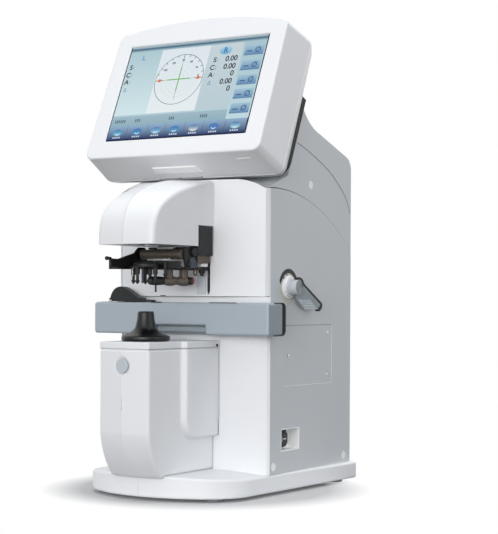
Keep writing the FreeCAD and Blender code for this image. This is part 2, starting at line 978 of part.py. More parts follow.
head_outer = arm("head_outer", 0)
head_inner = arm("head_inner", s.head_wall)
window_hole = rod("window_hole", "Z", s.window_radius, 0, axis_y, s.head_low - 1, s.head_wall + 2)
slide_notch = box(
    "slide_notch",
    (s.guide_offset - 4.6, s.head_width / 2 + 1),
    (y(-36), y(0)),
    (s.head_low - 1, s.head_low + 20),
)
head_cuts = [head_inner, upper_block, brow, window_hole, slide_notch]
node("head_cover", cut("head_shell", head_outer, head_cuts))
node("lamp_window", rod("lamp_glass", "Z", s.window_radius, 0, axis_y, s.head_low, s.head_wall))
lamp_low = s.head_low + s.head_wall
lamp = cut(
    "lamp_shell",
    rod("lamp_can", "Z", s.lamp_radius, 0, axis_y, lamp_low, 34),
    [rod("lamp_bore", "Z", s.lamp_radius - 2, 0, axis_y, lamp_low - 1, 30)],
)
node("lamp_module", lamp)
node("collimator_lens", rod("collimator", "Z", s.lamp_radius - 2, 0, axis_y, lamp_low + 4, 5))

# ---------------------------------------------------------------- chassis

chassis_half = 53
chassis_wall = 3
chassis_back = 120
floor_top = base_top + 3
upright_outline = [
    (y(16), floor_top),
    (y(chassis_back), floor_top),
    (y(chassis_back), s.roof_back - 12),
    (y(80), s.roof_back + 16),
    (neck_y + 2, s.roof_back + 30),
    (foot_y + 10, foot_z - 2),
    (y(16), s.shoulder_front - 12),
]
floor = box("chassis_floor", (-70, 70), (y(16), y(138)), (base_top, floor_top))
uprights = []
for side in (-1, 1):
    limits = flank(side, chassis_half - chassis_wall, chassis_half)
    uprights.append(prism(f"upright_{side + 1}", "X", upright_outline, *limits))
plate_half = chassis_half - chassis_wall
shaft_hole_radius = s.shaft_radius + s.running_gap
rod_plates = []
carriage_back = 74
for name, back in (("front", 16), ("rear", carriage_back + 14)):
    rod_plates.append(
        box(
            f"rod_plate_{name}",
            (-plate_half, plate_half),
            (y(back), y(back + 4)),
            (s.rod_height - 9, s.rod_height + 9),
        )
    )
chassis_cuts = [
    box(
        "carriage_window",
        (-chassis_half - 1, chassis_half + 1),
        (y(carriage_back - s.table_travel - 6), y(carriage_back + 9)),
        (s.rod_height - 11, s.rod_height + 14),
    ),
    rod("shaft_hole", "X", shaft_hole_radius, plate_half - 1, lever_y, s.lever_height, chassis_wall + 2),
]
for side in (-1, 1):
    seat = (side * s.rod_offset, y(15), s.rod_height)
    chassis_cuts.append(rod(f"rod_seat_{side + 1}", "Y", s.rod_radius, *seat, carriage_back + 5))
node("chassis", cut("chassis_cut", fuse("chassis_block", [floor] + uprights + rod_plates), chassis_cuts))
guides = []
for side in (-1, 1):
    start = (side * s.rod_offset, y(16), s.rod_height)
    guides.append(rod(f"guide_{side + 1}", "Y", s.rod_radius, *start, carriage_back + 2))
node("guide_rods", group("guides", guides))
board_y = (y(chassis_back), y(chassis_back) + board_thickness)
node("main_board", box("board", (-chassis_half, chassis_half), board_y, (base_top + 70, base_top + 210)))
node("power_supply", box("supply", (-40, 40), (y(30), y(110)), (floor_top, floor_top + 42)))

# ---------------------------------------------------------------- spectacle table

table_half = half + s.table_overhang
bar_back = y(-s.table_reach + s.table_bar)
wrap_back = y(-s.table_reach + s.table_wrap)
side_gap = 1.5


def table_plan(inset):
    """The table in plan: a straight bar whose two ends turn back beside the column."""
    outer, bend = table_half - inset, 2.8 - inset
    low = y(-s.table_reach) + inset
    inside = half + side_gap + inset
    return [
        (outer, wrap_back - inset),
        (inside, wrap_back - inset),
        (inside, bar_back - inset),
        (-inside, bar_back - inset),
        (-inside, wrap_back - inset),
        (-outer, wrap_back - inset),
        (-outer, low + bend),
        (-outer + bend * ROUND, low + bend * ROUND, -outer + bend, low),
        (outer - bend, low),
        (outer - bend * ROUND, low + bend * ROUND, outer, low + bend),
    ]


table_block = prism("table_block", "Z", table_plan(0), s.table_low, table_top)
table_hollow = prism("table_hollow", "Z", table_plan(2.5), s.table_low + 2.5, table_top - 2.5)
notch_half = s.table_notch_width / 2
table_front = y(-s.table_reach)
notch = box(
    "table_notch",
    (-notch_half, notch_half),
    (table_front - 1, table_front + s.table_notch_depth),
    (s.table_low - 1, s.table_low + s.table_notch),
)
notch_walls = box(
    "notch_walls",
    (-notch_half - 2.5, notch_half + 2.5),
    (table_front, table_front + s.table_notch_depth + 2.5),
    (s.table_low, s.table_low + s.table_notch + 2.5),
)
table_room = cut("table_room", table_hollow, [notch_walls])
rail_y = (table_front + 6.5, table_front + 10.5)
slide_rail = box("slide_rail", (-table_half + 8, table_half - 8), rail_y, (table_top - 3, table_top + 1))
node("spectacle_table", cut("table_shell", table_block, [table_room, notch, slide_rail]))

seals = []
seal_y = (wrap_back, wrap_back + s.table_seal)
for side in (-1, 1):
    limits = flank(side, half + side_gap, table_half - 1.5)
    seals.append(box(f"seal_{side + 1}", limits, seal_y, (s.table_low + 1, table_top - 1)))
node("table_seals", group("seals", seals))

carriage_z = (s.rod_height - 8, s.rod_height + 9)
pitch_height = s.lever_height - s.gear_teeth * s.gear_module / 2
root_height = pitch_height - s.gear_module * 1.25
arm_z = (root_height - 7.8, root_height)
carriage_y = (y(carriage_back), y(carriage_back + 6))
carriage_bores = []
for side in (-1, 1):
    carriage_bores.append(
        rod(
            f"carriage_bore_{side + 1}",
            "Y",
            s.rod_radius + s.running_gap,
            side * s.rod_offset,
            carriage_y[0] - 1,
            s.rod_height,
            8,
        )
    )
arm_half = s.arm_width / 2
crosshead = box(
    "crosshead",
    (-s.arm_offset - arm_half, s.arm_offset - arm_half - s.running_gap),
    carriage_y,
    carriage_z,
)
left_arm = box(
    "left_arm", (-s.arm_offset - arm_half, -s.arm_offset + arm_half), (bar_back, carriage_y[1]), arm_z
)
node("table_carriage", cut("carriage", fuse("carriage_block", [crosshead, left_arm]), carriage_bores))

# ---------------------------------------------------------------- rack, gear and lever

pitch = math.pi * s.gear_module.value
module = s.gear_module.value
teeth = int(s.gear_teeth.value)
pitch_radius = teeth * module / 2
pressure = math.radians(20)
backlash = 0.12
add_on = module * 0.95
root_depth = module * 1.2


def involute(radius, base):
    """The angle of an involute at a radius, from its start on the base circle."""
    turn = math.sqrt(max((radius / base) ** 2 - 1, 0))
    return turn - math.atan(turn)


def gear_shape():
    """A spur gear about the X axis, with a tooth space straight down."""
    base = pitch_radius * math.cos(pressure)
    tip, root = pitch_radius + add_on, pitch_radius - root_depth
    thick = (pitch / 2 - backlash) / pitch_radius / 2
    start = thick + involute(pitch_radius, base)
    points = []
    for tooth in range(teeth):
        middle = -math.pi / 2 + (tooth + 0.5) * 2 * math.pi / teeth
        flank = []
        for step in range(5):
            radius = max(root, base) + (tip - max(root, base)) * step / 4
            flank.append((radius, start - involute(radius, base)))
        flank.insert(0, (root, flank[0][1]))
        for radius, angle in flank:
            points.append((radius, middle - angle))
        for radius, angle in reversed(flank):
            points.append((radius, middle + angle))
    corners = [Vector(0, radius * math.cos(turn), radius * math.sin(turn)) for radius, turn in points]
    wire = Part.makePolygon(corners + corners[:1])
    solid = Part.Face(wire).extrude(Vector(s.arm_width.value, 0, 0))
    hole = Part.makeCylinder(s.shaft_radius.value, s.arm_width.value, Vector(), Vector(1, 0, 0))
    return solid.cut(hole)


def rack_shape():
    """A rack with a tooth under the gear's axis, from the table's bar to the carriage."""
    first = bar_back.value - lever_y.value
    last = carriage_y[1].value - lever_y.value
    slope = math.tan(pressure)
    half_thick = pitch / 4 - backlash / 2
    corners = [Vector(0, last, -root_depth), Vector(0, last, -root_depth - 7.8)]
    corners += [Vector(0, first, -root_depth - 7.8), Vector(0, first, -root_depth)]
    low = math.ceil((first + 12) / pitch)
    high = math.floor((last - 8) / pitch)
    for index in range(low, high + 1):
        middle = index * pitch
        wide_foot = half_thick + slope * root_depth
        wide_tip = half_thick - slope * add_on
        tooth = ((-wide_foot, -root_depth), (-wide_tip, add_on), (wide_tip, add_on), (wide_foot, -root_depth))
        corners += [Vector(0, middle + across, up) for across, up in tooth]
    wire = Part.makePolygon(corners + corners[:1])
    return Part.Face(wire).extrude(Vector(s.arm_width.value, 0, 0))


gear_left = s.arm_offset - arm_half
gear = doc.addObject("Part::Feature", "gear")
gear.Shape = gear_shape()
node("lever_gear", move(gear, gear_left, lever_y, s.lever_height))
rack = doc.addObject("Part::Feature", "rack")
rack.Shape = rack_shape()
node("table_rack", move(rack, gear_left, lever_y, pitch_height))

shaft_start = plate_half - 2
shaft = rod("shaft", "X", s.shaft_radius, shaft_start, lever_y, s.lever_height, s.hub_end - 4 - shaft_start)
node("lever_shaft", shaft)
bush = cut(
    "bush_cut",
    fuse(
        "bush_block",
        [
            rod("bush_tube", "X", s.collar_radius, inner, lever_y, s.lever_height, s.wall + 3),
            rod("bush_flange", "X", s.collar_radius + 3, inner - 2, lever_y, s.lever_height, 2),
        ],
    ),
    [rod("bush_bore", "X", s.shaft_radius + s.running_gap, inner - 3, lever_y, s.lever_height, s.wall + 8)],
)
node("lever_collar", bush)
node(
    "lever_escutcheon",
    cut(
        "escutcheon",
        rod("escutcheon_disc", "X", s.escutcheon_radius, half - 1.5, lever_y, s.lever_height, 1.3),
        [rod("escutcheon_hole", "X", s.collar_radius, half - 3, lever_y, s.lever_height, 5)],
    ),
)
hub_start = half + 3 + s.seam
lever_side = prism(
    "lever_side",
    "X",
    [
        (0, s.lever_top),
        (0, -s.lever_low),
        (s.lever_length - 12, -s.lever_low),
        (s.lever_length, s.lever_top - 1),
        (s.lever_length - 1.5, s.lever_top),
    ],
    hub_start,
    s.hub_end,
)
lever_section = prism(
    "lever_section",
    "Y",
    [
        (hub_start, s.lever_top + 1),
        (hub_start, -s.lever_low),
        (s.hub_end, -s.lever_lip),
        (s.hub_end, s.lever_top + 1),
    ],
    -1,
    s.lever_length + 1,
)
lever_hub = rod("lever_hub", "X", s.hub_radius, hub_start, 0, 0, s.hub_end - hub_start)
lever_block = fuse("lever_block", [lever_hub, common("lever_paddle", [lever_side, lever_section])])
lever_bore = rod("lever_bore", "X", s.shaft_radius, hub_start - 1, 0, 0, s.hub_end - 3 - hub_start)
lever_arm = lean(group("lever_turned", [cut("lever_arm_cut", lever_block, [lever_bore])]), s.lever_angle)
node("lever_arm", move(lever_arm, 0, lever_y, s.lever_height))

# ---------------------------------------------------------------- pupil distance slider

slider_y = (y(-s.table_reach) + 1.5, y(-s.upper_bulge) - 1.2)
slider_floor = table_top + s.seam
tail = s.slider_length
slider_left = s.slider_inset - table_half
arch = slider_floor + s.slider_height
slider_outline = [
    (slider_left, slider_floor),
    (slider_left + tail, slider_floor),
    (slider_left + tail, slider_floor + 2),
    (slider_left + 24, arch - 3.5),
    (slider_left + 13, arch, slider_left + 3, arch - s.slider_height * 0.45),
]
node("pd_slider", prism("slider", "Y", slider_outline, *slider_y))
node(
    "pd_slider_foot",
    box(
        "slider_foot",
        (slider_left + 8, slider_left + 38),
        (rail_y[0] + s.seam, rail_y[1] - s.seam),
        (table_top - 2.5, slider_floor),
    ),
)

# ---------------------------------------------------------------- lens holder and marker

ring_top = s.ring_low + s.ring_thickness
grip_x = (s.guide_offset - 4, s.guide_offset + 5.5)
grip_y = (y(-35), y(-s.upper_bulge) - 0.6)
grip_z = (s.head_low - 8, s.head_low + 18)
grip = box("grip_block", grip_x, grip_y, grip_z)
grip_limits = [(low - 1, high - 3) for low, high in (grip_x, grip_y, grip_z)]
node("slide_grip", cut("grip", grip, [box("grip_room", *grip_limits)]))
blade_x = (s.guide_offset - 1.2, s.guide_offset + 1.2)
ring_disc = rod("ring_disc", "Z", s.pin_circle + 3.5, 0, axis_y, s.ring_low, s.ring_thickness)
ring_bar = prism(
    "ring_bar",
    "Z",
    [
        (s.guide_offset - 3, grip_y[1]),
        (s.guide_offset + 3, grip_y[1]),
        (s.guide_offset + 3, y(-38)),
        (4, axis_y - 2),
        (-2, axis_y + 3),
        (s.guide_offset - 4.5, y(-32)),
    ],
    s.ring_low,
    ring_top,
)
post_x = (s.guide_offset - 3, s.guide_offset + 3)
ring_post = box("ring_post", post_x, (grip_y[1] - 3, grip_y[1]), (s.ring_low, grip_z[1] - 3))
ring_blade = box("ring_blade", blade_x, (grip_y[1] - 1, y(4)), (s.ring_low, grip_z[0] + 4))
lower_bar = prism(
    "lower_bar",
    "Z",
    [
        (s.guide_offset - 3, grip_y[1]),
        (s.guide_offset + 3, grip_y[1]),
        (s.guide_offset + 3, y(-40)),
        (7, axis_y + 6),
        (2, axis_y + 10),
        (s.guide_offset - 4.5, y(-32)),
    ],
    s.ring_low - 14.5,
    s.ring_low - 9,
)
lower_post = box("lower_post", post_x, (grip_y[1] - 4, grip_y[1]), (s.ring_low - 10, s.ring_low + 1))
holder_block = fuse("holder_block", [ring_disc, ring_bar, ring_post, ring_blade, lower_bar, lower_post])
holder_cuts = [rod("ring_hole", "Z", s.pin_circle - 2.6, 0, axis_y, s.ring_low - 20, 40), grip]
pins = []
tip_length = 6
for index, angle in enumerate((10, 130, 250)):
    spot_x = s.pin_circle * math.cos(math.radians(angle))
    spot_y = axis_y + s.pin_circle * math.sin(math.radians(angle))
    hole = rod(f"pin_hole_{index}", "Z", s.pin_radius, spot_x, spot_y, s.ring_low - 1, s.ring_thickness + 2)
    holder_cuts.append(hole)
    body_length = ring_top + s.seam - s.pin_tip - tip_length
    body = rod(f"pin_body_{index}", "Z", s.pin_radius, spot_x, spot_y, s.pin_tip + tip_length, body_length)
    tip = rod(f"pin_point_{index}", "Z", s.pin_radius * 0.6, spot_x, spot_y, s.pin_tip, tip_length)
    pins.append(fuse(f"press_pin_{index}", [body, tip]))
node("holder_frame", cut("holder", holder_block, holder_cuts))
node("press_pins", group("pins", pins))

beam_low = ring_top + s.marker_travel + 0.6
beam_z = (beam_low, beam_low + 4)
row_y = axis_y + s.pen_row
plate_x = s.pen_spacing + 6
wedge = prism(
    "wedge",
    "X",
    [
        (axis_y - 24, s.ring_low),
        (axis_y + 20, s.ring_low),
        (axis_y + 20, s.head_low - 1),
        (axis_y - 24, s.ring_low + 7),
    ],
    -plate_x - 2,
    -plate_x,
)
beam = box("marker_beam", (-plate_x, plate_x), (row_y - 3, row_y + 3), beam_z)
roller_y = axis_y + 18.6 - 3
roller = rod("marker_roller", "X", 3.0, -plate_x, roller_y, s.head_low - 5, plate_x * 2)
marker_cuts, pens = [], []
for index in (-1, 0, 1):
    pen_x = index * s.pen_spacing
    marker_cuts.append(rod(f"pen_hole_{index + 1}", "Z", s.pen_radius, pen_x, row_y, beam_low - 1, 6))
    pen_length = beam_z[1] + 1.5 - s.pen_tip
    pens.append(rod(f"pen_{index + 1}", "Z", s.pen_radius, pen_x, row_y, s.pen_tip, pen_length))
node("marker_frame", cut("marker", fuse("marker_block", [beam, wedge]), marker_cuts))
node("marker_roller", roller)
node("marker_pens", group("pens", pens))

# ---------------------------------------------------------------- screen, drawn upright and then tilted

def tilt(item):
    """Lay a piece that was drawn upright back to the screen's angle."""
    tilted = lean(group(item.Name + "_tilted", [item]), s.screen_tilt)
    return move(tilted, 0, screen_y, s.screen_front_height)


def screen_outline(grow, crown):
    """The screen's outline from the front, with a crowned top edge."""
    low, high = -grow, s.screen_tall + grow
    left, right, corner = s.screen_low_width / 2 + grow, s.screen_high_width / 2 + grow, 8
    bend = corner * ROUND
    return [
        (left - corner, low),
        (left - bend, low + bend, left, low + corner),
        (right, high - corner),
        (right - bend, high - bend, right - corner, high),
        (0, high + crown, -right + corner, high),
        (-right + bend, high - bend, -right, high - corner),
        (-left, low + corner),
        (-left + bend, low + bend, -left + corner, low),
    ]


def screen_loft(name, steps):
    """Blend two outlines that stand at two depths behind the screen's face."""
    body = doc.addObject("PartDesign::Body", name)
    sketches = []
    for depth, grow, crown in steps:
        sketches.append(sketch_on(body, "Y", screen_outline(grow, crown), -size(depth)))
    loft = body.newObject("PartDesign::AdditiveLoft", name + "_loft")
    loft.Profile = sketches[0]
    loft.Sections = sketches[1:]
    loft.Ruled = True
    return body


thin = s.screen_wall
crown_rise = s.screen_crown
bezel_block = screen_loft("bezel_block", [(0, 0, crown_rise), (shell_back, s.screen_flare, crown_rise)])
bezel_hollow = screen_loft("bezel_hollow", [(thin, -thin, crown_rise), (shell_back + 1, -thin, crown_rise)])
glass_x = s.display_width / 2
glass_z = (s.display_low, s.display_low + s.display_tall)
bezel_window = box("bezel_window", (-glass_x, glass_x), (-1, thin + 1), glass_z)
node("screen_bezel", tilt(cut("bezel", bezel_block, [bezel_hollow, bezel_window])))
node(
    "display_glass",
    tilt(box("glass", (-glass_x, glass_x), (1, 2.4), glass_z)),
)
module_depth = (thin + s.seam, thin + s.seam + 6)
node(
    "display_module",
    tilt(box("module", (-glass_x - 5, glass_x + 5), module_depth, (glass_z[0] - 5, glass_z[1] + 5))),
)
rim_front = shell_back + s.seam
rim_flare = s.screen_flare - 4
back_rim = screen_loft(
    "back_rim", [(rim_front, s.screen_flare, crown_rise), (rim_back, rim_flare, crown_rise)]
)
back_taper = screen_loft(
    "back_taper", [(rim_back, rim_flare, crown_rise), (taper_back, -18, crown_rise)]
)
back_hollow = screen_loft(
    "back_hollow", [(shell_back, -thin, crown_rise), (taper_back - thin, -18, crown_rise)]
)
hinge_z = s.hinge_up
hinge_room = box("hinge_room", (-62, 62), (taper_back - 12, taper_back + 5), (hinge_z - 40, hinge_z + 12))
back_block = fuse("back_block", [back_rim, back_taper])
node("screen_back_cover", tilt(cut("back_cover", back_block, [back_hollow, hinge_room])))

knuckle_offset = 41
frame_y = (26, 29)
frame_plate = box("frame_plate", (-glass_x, glass_x), frame_y, (glass_z[0] + 5, glass_z[1] - 5))
knuckles, knuckle_bores = [], []
for side in (-1, 1):
    low, high = side * knuckle_offset - 4, side * knuckle_offset + 4
    arm_y = (frame_y[1], s.hinge_behind)
    arm_plate = box(f"knuckle_arm_{side + 1}", (low, high), arm_y, (hinge_z - 6, hinge_z + 6))
    eye = rod(f"knuckle_eye_{side + 1}", "X", 6, low, s.hinge_behind, hinge_z, 8)
    knuckles += [arm_plate, eye]
    bore_radius = s.hinge_radius + s.running_gap
    knuckle_bores.append(
        rod(f"knuckle_bore_{side + 1}", "X", bore_radius, low - 1, s.hinge_behind, hinge_z, 10)
    )
spacers = []
for index, (across, up) in enumerate(((-1, 0), (1, 0), (-1, 1), (1, 1))):
    spacers.append(
        rod(
            f"spacer_{index}",
            "Y",
            4,
            across * (glass_x - 8),
            module_depth[1],
            (glass_z[0] + 14, glass_z[1] - 14)[up],
            frame_y[0] - module_depth[1],
        )
    )
carrier_block = fuse("carrier_block", [frame_plate] + knuckles + spacers)
node("screen_frame", tilt(cut("screen_carrier", carrier_block, knuckle_bores)))
node(
    "screen_board",
    tilt(box("screen_pcb", (-50, 50), (frame_y[1], frame_y[1] + board_thickness), (glass_z[0] + 8, hinge_z - 8))),
)

node("hinge_pin", rod("pin", "X", s.hinge_radius, -lug_offset - 3, pin_y, pin_z, 2 * lug_offset + 6))
lugs, lug_cuts = [], []
for side in (-1, 1):
    low, high = side * lug_offset - lug_width / 2, side * lug_offset + lug_width / 2
    plate = prism(
        f"lug_{side + 1}",
        "X",
        [
            (pin_y + 2, pin_z - 7),
            (neck_y - 2, neck_z - 14),
            (neck_y - 2, s.roof_back + 20),
            (neck_y + 14, s.roof_back + 20),
            (neck_y + 6, neck_z - 15),
            (pin_y + 3, pin_z + 6),
        ],
        low,
        high,
    )
    eye = rod(f"lug_eye_{side + 1}", "X", 6.5, low, pin_y, pin_z, lug_width)
    lugs.append(fuse(f"lug_body_{side + 1}", [plate, eye]))
    lug_cuts.append(rod(f"lug_bore_{side + 1}", "X", s.hinge_radius, low - 1, pin_y, pin_z, lug_width + 2))
node("hinge_brackets", cut("brackets", group("lug_pair", lugs), lug_cuts))

gasket_low = 14
gasket_high = s.hinge_up - 2
gasket_block = box(
    "gasket_block", (-half + 6, half - 6), (gasket_front, gasket_back), (gasket_low, gasket_high)
)
gasket_room = box(
    "gasket_room",
    (-half + 14, half - 14),
    (gasket_front - 1, gasket_back + 1),
    (gasket_low + 8, gasket_high + 1),
)
node("screen_gasket", tilt(cut("gasket_frame", gasket_block, [gasket_room])))

# ---------------------------------------------------------------- checks and files

doc.recompute()
for item in doc.Objects:
    if "Invalid" in item.State or "Error" in item.State:
        raise RuntimeError(f"{item.Name} failed: {item.State}")
os.makedirs("parts", exist_ok=True)
for name, item in nodes.items():
    shape = item.Shape
    if shape.isNull() or not shape.isValid() or not shape.Solids:
        raise RuntimeError(f"{name} has no valid solid")
    shape.exportStep(f"parts/{name}.step")
    limits = shape.BoundBox
    print(
        f"{name:22} {len(shape.Solids):2} solids {shape.Volume / 1000:8.2f} cm3"
        f"  x {limits.XMin:7.1f} {limits.XMax:7.1f}  y {limits.YMin:7.1f} {limits.YMax:7.1f}"
        f"  z {limits.ZMin:6.1f} {limits.ZMax:6.1f}"
    )
print(len(nodes), "sub-parts")
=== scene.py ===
# %% [markdown]
# # A table-top lens meter, dressed
# The CAD frame gives every part its size and place. This script adds what the eye sees: soft moulded
# edges, the finish of each plastic, the lit screen and the small blackened mechanism of the lens holder.

# %% Load the frame
import json
import math

import bmesh
import bpy
from mathutils import Matrix, Vector


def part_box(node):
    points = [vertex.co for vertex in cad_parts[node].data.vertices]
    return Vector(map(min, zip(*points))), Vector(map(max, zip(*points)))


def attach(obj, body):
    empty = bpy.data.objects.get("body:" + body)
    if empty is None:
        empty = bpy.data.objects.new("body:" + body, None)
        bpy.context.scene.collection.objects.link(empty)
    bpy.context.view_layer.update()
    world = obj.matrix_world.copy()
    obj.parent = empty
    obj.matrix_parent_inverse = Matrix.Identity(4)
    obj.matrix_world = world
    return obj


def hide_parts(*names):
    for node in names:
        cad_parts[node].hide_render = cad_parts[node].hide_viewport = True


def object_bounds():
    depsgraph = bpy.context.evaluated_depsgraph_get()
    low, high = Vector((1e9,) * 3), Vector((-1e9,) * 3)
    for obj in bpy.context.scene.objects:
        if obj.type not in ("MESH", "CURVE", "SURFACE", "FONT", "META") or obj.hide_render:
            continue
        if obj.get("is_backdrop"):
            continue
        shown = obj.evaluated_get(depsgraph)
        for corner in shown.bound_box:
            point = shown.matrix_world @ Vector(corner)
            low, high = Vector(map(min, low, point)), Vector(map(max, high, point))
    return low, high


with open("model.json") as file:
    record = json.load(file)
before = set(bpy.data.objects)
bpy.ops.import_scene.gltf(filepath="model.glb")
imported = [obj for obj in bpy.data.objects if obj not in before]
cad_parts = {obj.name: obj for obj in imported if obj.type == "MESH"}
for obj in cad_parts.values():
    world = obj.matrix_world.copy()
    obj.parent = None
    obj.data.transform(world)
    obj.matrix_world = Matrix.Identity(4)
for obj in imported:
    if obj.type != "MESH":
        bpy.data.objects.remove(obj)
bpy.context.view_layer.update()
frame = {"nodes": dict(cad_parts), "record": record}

# %% Shared measures
MM = 0.001
scene = bpy.context.scene
scene.view_settings.view_transform = "Standard"
nodes = frame["nodes"]
body_of = {name: body for body, names in frame["record"]["behaviour"]["bodies"].items() for name in names}
slot_of = {part["node"]: part["material_slot"] for part in frame["record"]["subparts"]}

# %% [markdown]
# ## Camera
# The machine was seen from its front right, a little above the table and from more than a metre away.
# A long lens keeps the upright edges nearly parallel. The view stays level, and the lens is shifted
# upwards instead of tilting the camera, as one does for buildings.

# %% Camera
AZIMUTH = math.radians(32.2)
camera_data = bpy.data.cameras.new("camera")
camera_data.lens = 101.73
camera_data.sensor_width = 36
camera_data.shift_y = 0.0592
camera_data.clip_end = 20
camera = bpy.data.objects.new("camera", camera_data)
scene.collection.objects.link(camera)
look = Vector((-math.sin(AZIMUTH), math.cos(AZIMUTH), 0))
right = Vector((math.cos(AZIMUTH), math.sin(AZIMUTH), 0))
axes = Matrix((right, Vector((0, 0, 1)), -look)).transposed()
camera.matrix_world = (
    Matrix.Translation((0.7806, -1.1664, 0.1762)) @ axes.to_4x4() @ Matrix.Rotation(0.0057, 4, "Z")
)
scene.camera = camera
print("camera at", tuple(camera.location))

# %% [markdown]
# ## Light and floor
# A product shot on white: soft lamps in front, low in front, at the right, above and behind, and a pale
# sky. The sky is plain white only for rays that the camera, a mirror or glass sends out, so it adds no
# light to the machine itself. The floor takes the machine's shadow near its foot, and blends into the
# same plain white a short way out.

# %% World
world = bpy.data.worlds.new("studio")
scene.world = world
world.use_nodes = True
tree = world.node_tree
tree.nodes.clear()


def node(tree, kind, inputs=None, **settings):
    """A new node, with its own settings and with values for some of its inputs."""
    made = tree.nodes.new(kind)
    for name, value in settings.items():
        setattr(made, name, value)
    for label, value in (inputs or {}).items():
        made.inputs[label].default_value = value
    return made


def wires(tree, *links):
    """Links nodes. Each link is a node, its output, the next node and its input."""
    for source, output, target, label in links:
        tree.links.new(source.outputs[output], target.inputs[label])


def seen_directly(tree):
    """One for rays from the camera, a mirror or glass, and nought for rays that only carry light."""
    path = node(tree, "ShaderNodeLightPath")
    first = node(tree, "ShaderNodeMath", operation="MAXIMUM")
    wires(
        tree,
        (path, "Is Camera Ray", first, 0),
        (path, "Is Glossy Ray", first, 1),
    )
    second = node(tree, "ShaderNodeMath", operation="MAXIMUM")
    wires(
        tree,
        (first, 0, second, 0),
        (path, "Is Transmission Ray", second, 1),
    )
    return second


AMBIENT = 0.62  # the strength of the light that comes from all round
ambient = node(tree, "ShaderNodeBackground", {"Color": (0.93, 0.96, 1, 1), "Strength": AMBIENT})
backdrop = node(tree, "ShaderNodeBackground", {"Color": (1, 1, 1, 1), "Strength": 1.0})
mix = node(tree, "ShaderNodeMixShader")
sky_out = node(tree, "ShaderNodeOutputWorld")
wires(
    tree,
    (seen_directly(tree), 0, mix, 0),
    (ambient, 0, mix, 1),
    (backdrop, 0, mix, 2),
    (mix, 0, sky_out, "Surface"),
)

# %% Lamps


def lamp(name, place, aim, size, power, colour=(1, 1, 1)):
    """A square soft lamp that faces a point."""
    data = bpy.data.lights.new(name, "AREA")
    data.size = size
    data.energy = power
    data.color = colour
    item = bpy.data.objects.new(name, data)
    item.location = place
    item.rotation_euler = (Vector(aim) - Vector(place)).to_track_quat("-Z", "Y").to_euler()
    scene.collection.objects.link(item)


LAMPS = {  # place, aim, size, power and colour
    "key": ((0.6, -2.3, 0.6), (0, 0, 0.2), 1.1, 11.5),
    "front": ((-0.2, -2.5, 0.28), (0, 0, 0.18), 1.5, 15),
    "low": ((0.9, -1.7, 0.12), (0, 0, 0.25), 0.9, 10),
    "side": ((2.1, 0.2, 0.9), (0, 0, 0.2), 1.2, 4, (0.96, 0.98, 1)),
    "top": ((0.1, 0.1, 2.0), (0, 0, 0.3), 1.2, 11.5),
    "rear": ((0.3, 1.9, 1.0), (0, 0, 0.2), 1.2, 5),
}
for name, values in LAMPS.items():
    lamp(name, *values)

# %% Floor
floor_material = bpy.data.materials.new("studio_floor")
floor_material.use_nodes = True
tree = floor_material.node_tree
tree.nodes.clear()
SHADOW_FROM, SHADOW_TO = 0.114, 0.153  # metres from the middle, where the floor turns plain white
GLOW = 0.06
diffuse = node(tree, "ShaderNodeBsdfDiffuse", {"Color": (0.58, 0.58, 0.585, 1)})
glow = node(tree, "ShaderNodeEmission", {"Color": (1, 1, 1, 1)})
gain = node(tree, "ShaderNodeMath", {1: GLOW}, operation="MULTIPLY")
direct = seen_directly(tree)
near_floor = node(tree, "ShaderNodeAddShader")
plain = node(tree, "ShaderNodeEmission", {"Color": (1, 1, 1, 1)})
spot = node(tree, "ShaderNodeTexCoord")
reach = node(tree, "ShaderNodeVectorMath", operation="LENGTH")
fade = node(tree, "ShaderNodeMapRange", {"From Min": SHADOW_FROM, "From Max": SHADOW_TO})
total = node(tree, "ShaderNodeMixShader")
floor_out = node(tree, "ShaderNodeOutputMaterial")
wires(
    tree,
    (direct, 0, gain, 0),
    (gain, 0, glow, "Strength"),
    (diffuse, 0, near_floor, 0),
    (glow, 0, near_floor, 1),
    (direct, 0, plain, "Strength"),
    (spot, "Object", reach, 0),
    (reach, "Value", fade, "Value"),
    (fade, 0, total, 0),
    (near_floor, 0, total, 1),
    (plain, 0, total, 2),
    (total, 0, floor_out, "Surface"),
)
bpy.ops.mesh.primitive_plane_add(size=8)
floor = bpy.context.object
floor.name = "studio_floor"
floor.data.materials.append(floor_material)
floor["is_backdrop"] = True

# %% [markdown]
# ## Finishes
# Nearly all of the machine is injection-moulded plastic. Such a surface is never one flat colour: it
# has a spark-eroded grain of a few tenths of a millimetre, and its gloss drifts over the larger faces.
# Both effects are wanted in every plastic, so they are one node group with its own values in each
# material. A second group draws the fine lines of turned or ground metal.

# %% Node group: moulded grain


def group_tree(name, inputs, outputs):
    """A shader node group with named number or colour sockets."""
    group = bpy.data.node_groups.new(name, "ShaderNodeTree")
    for label, kind, value in inputs:
        socket = group.interface.new_socket(name=label, in_out="INPUT", socket_type=kind)
        socket.default_value = value
    for label, kind in outputs:
        group.interface.new_socket(name=label, in_out="OUTPUT", socket_type=kind)
    return group, group.nodes.new("NodeGroupInput"), group.nodes.new("NodeGroupOutput")


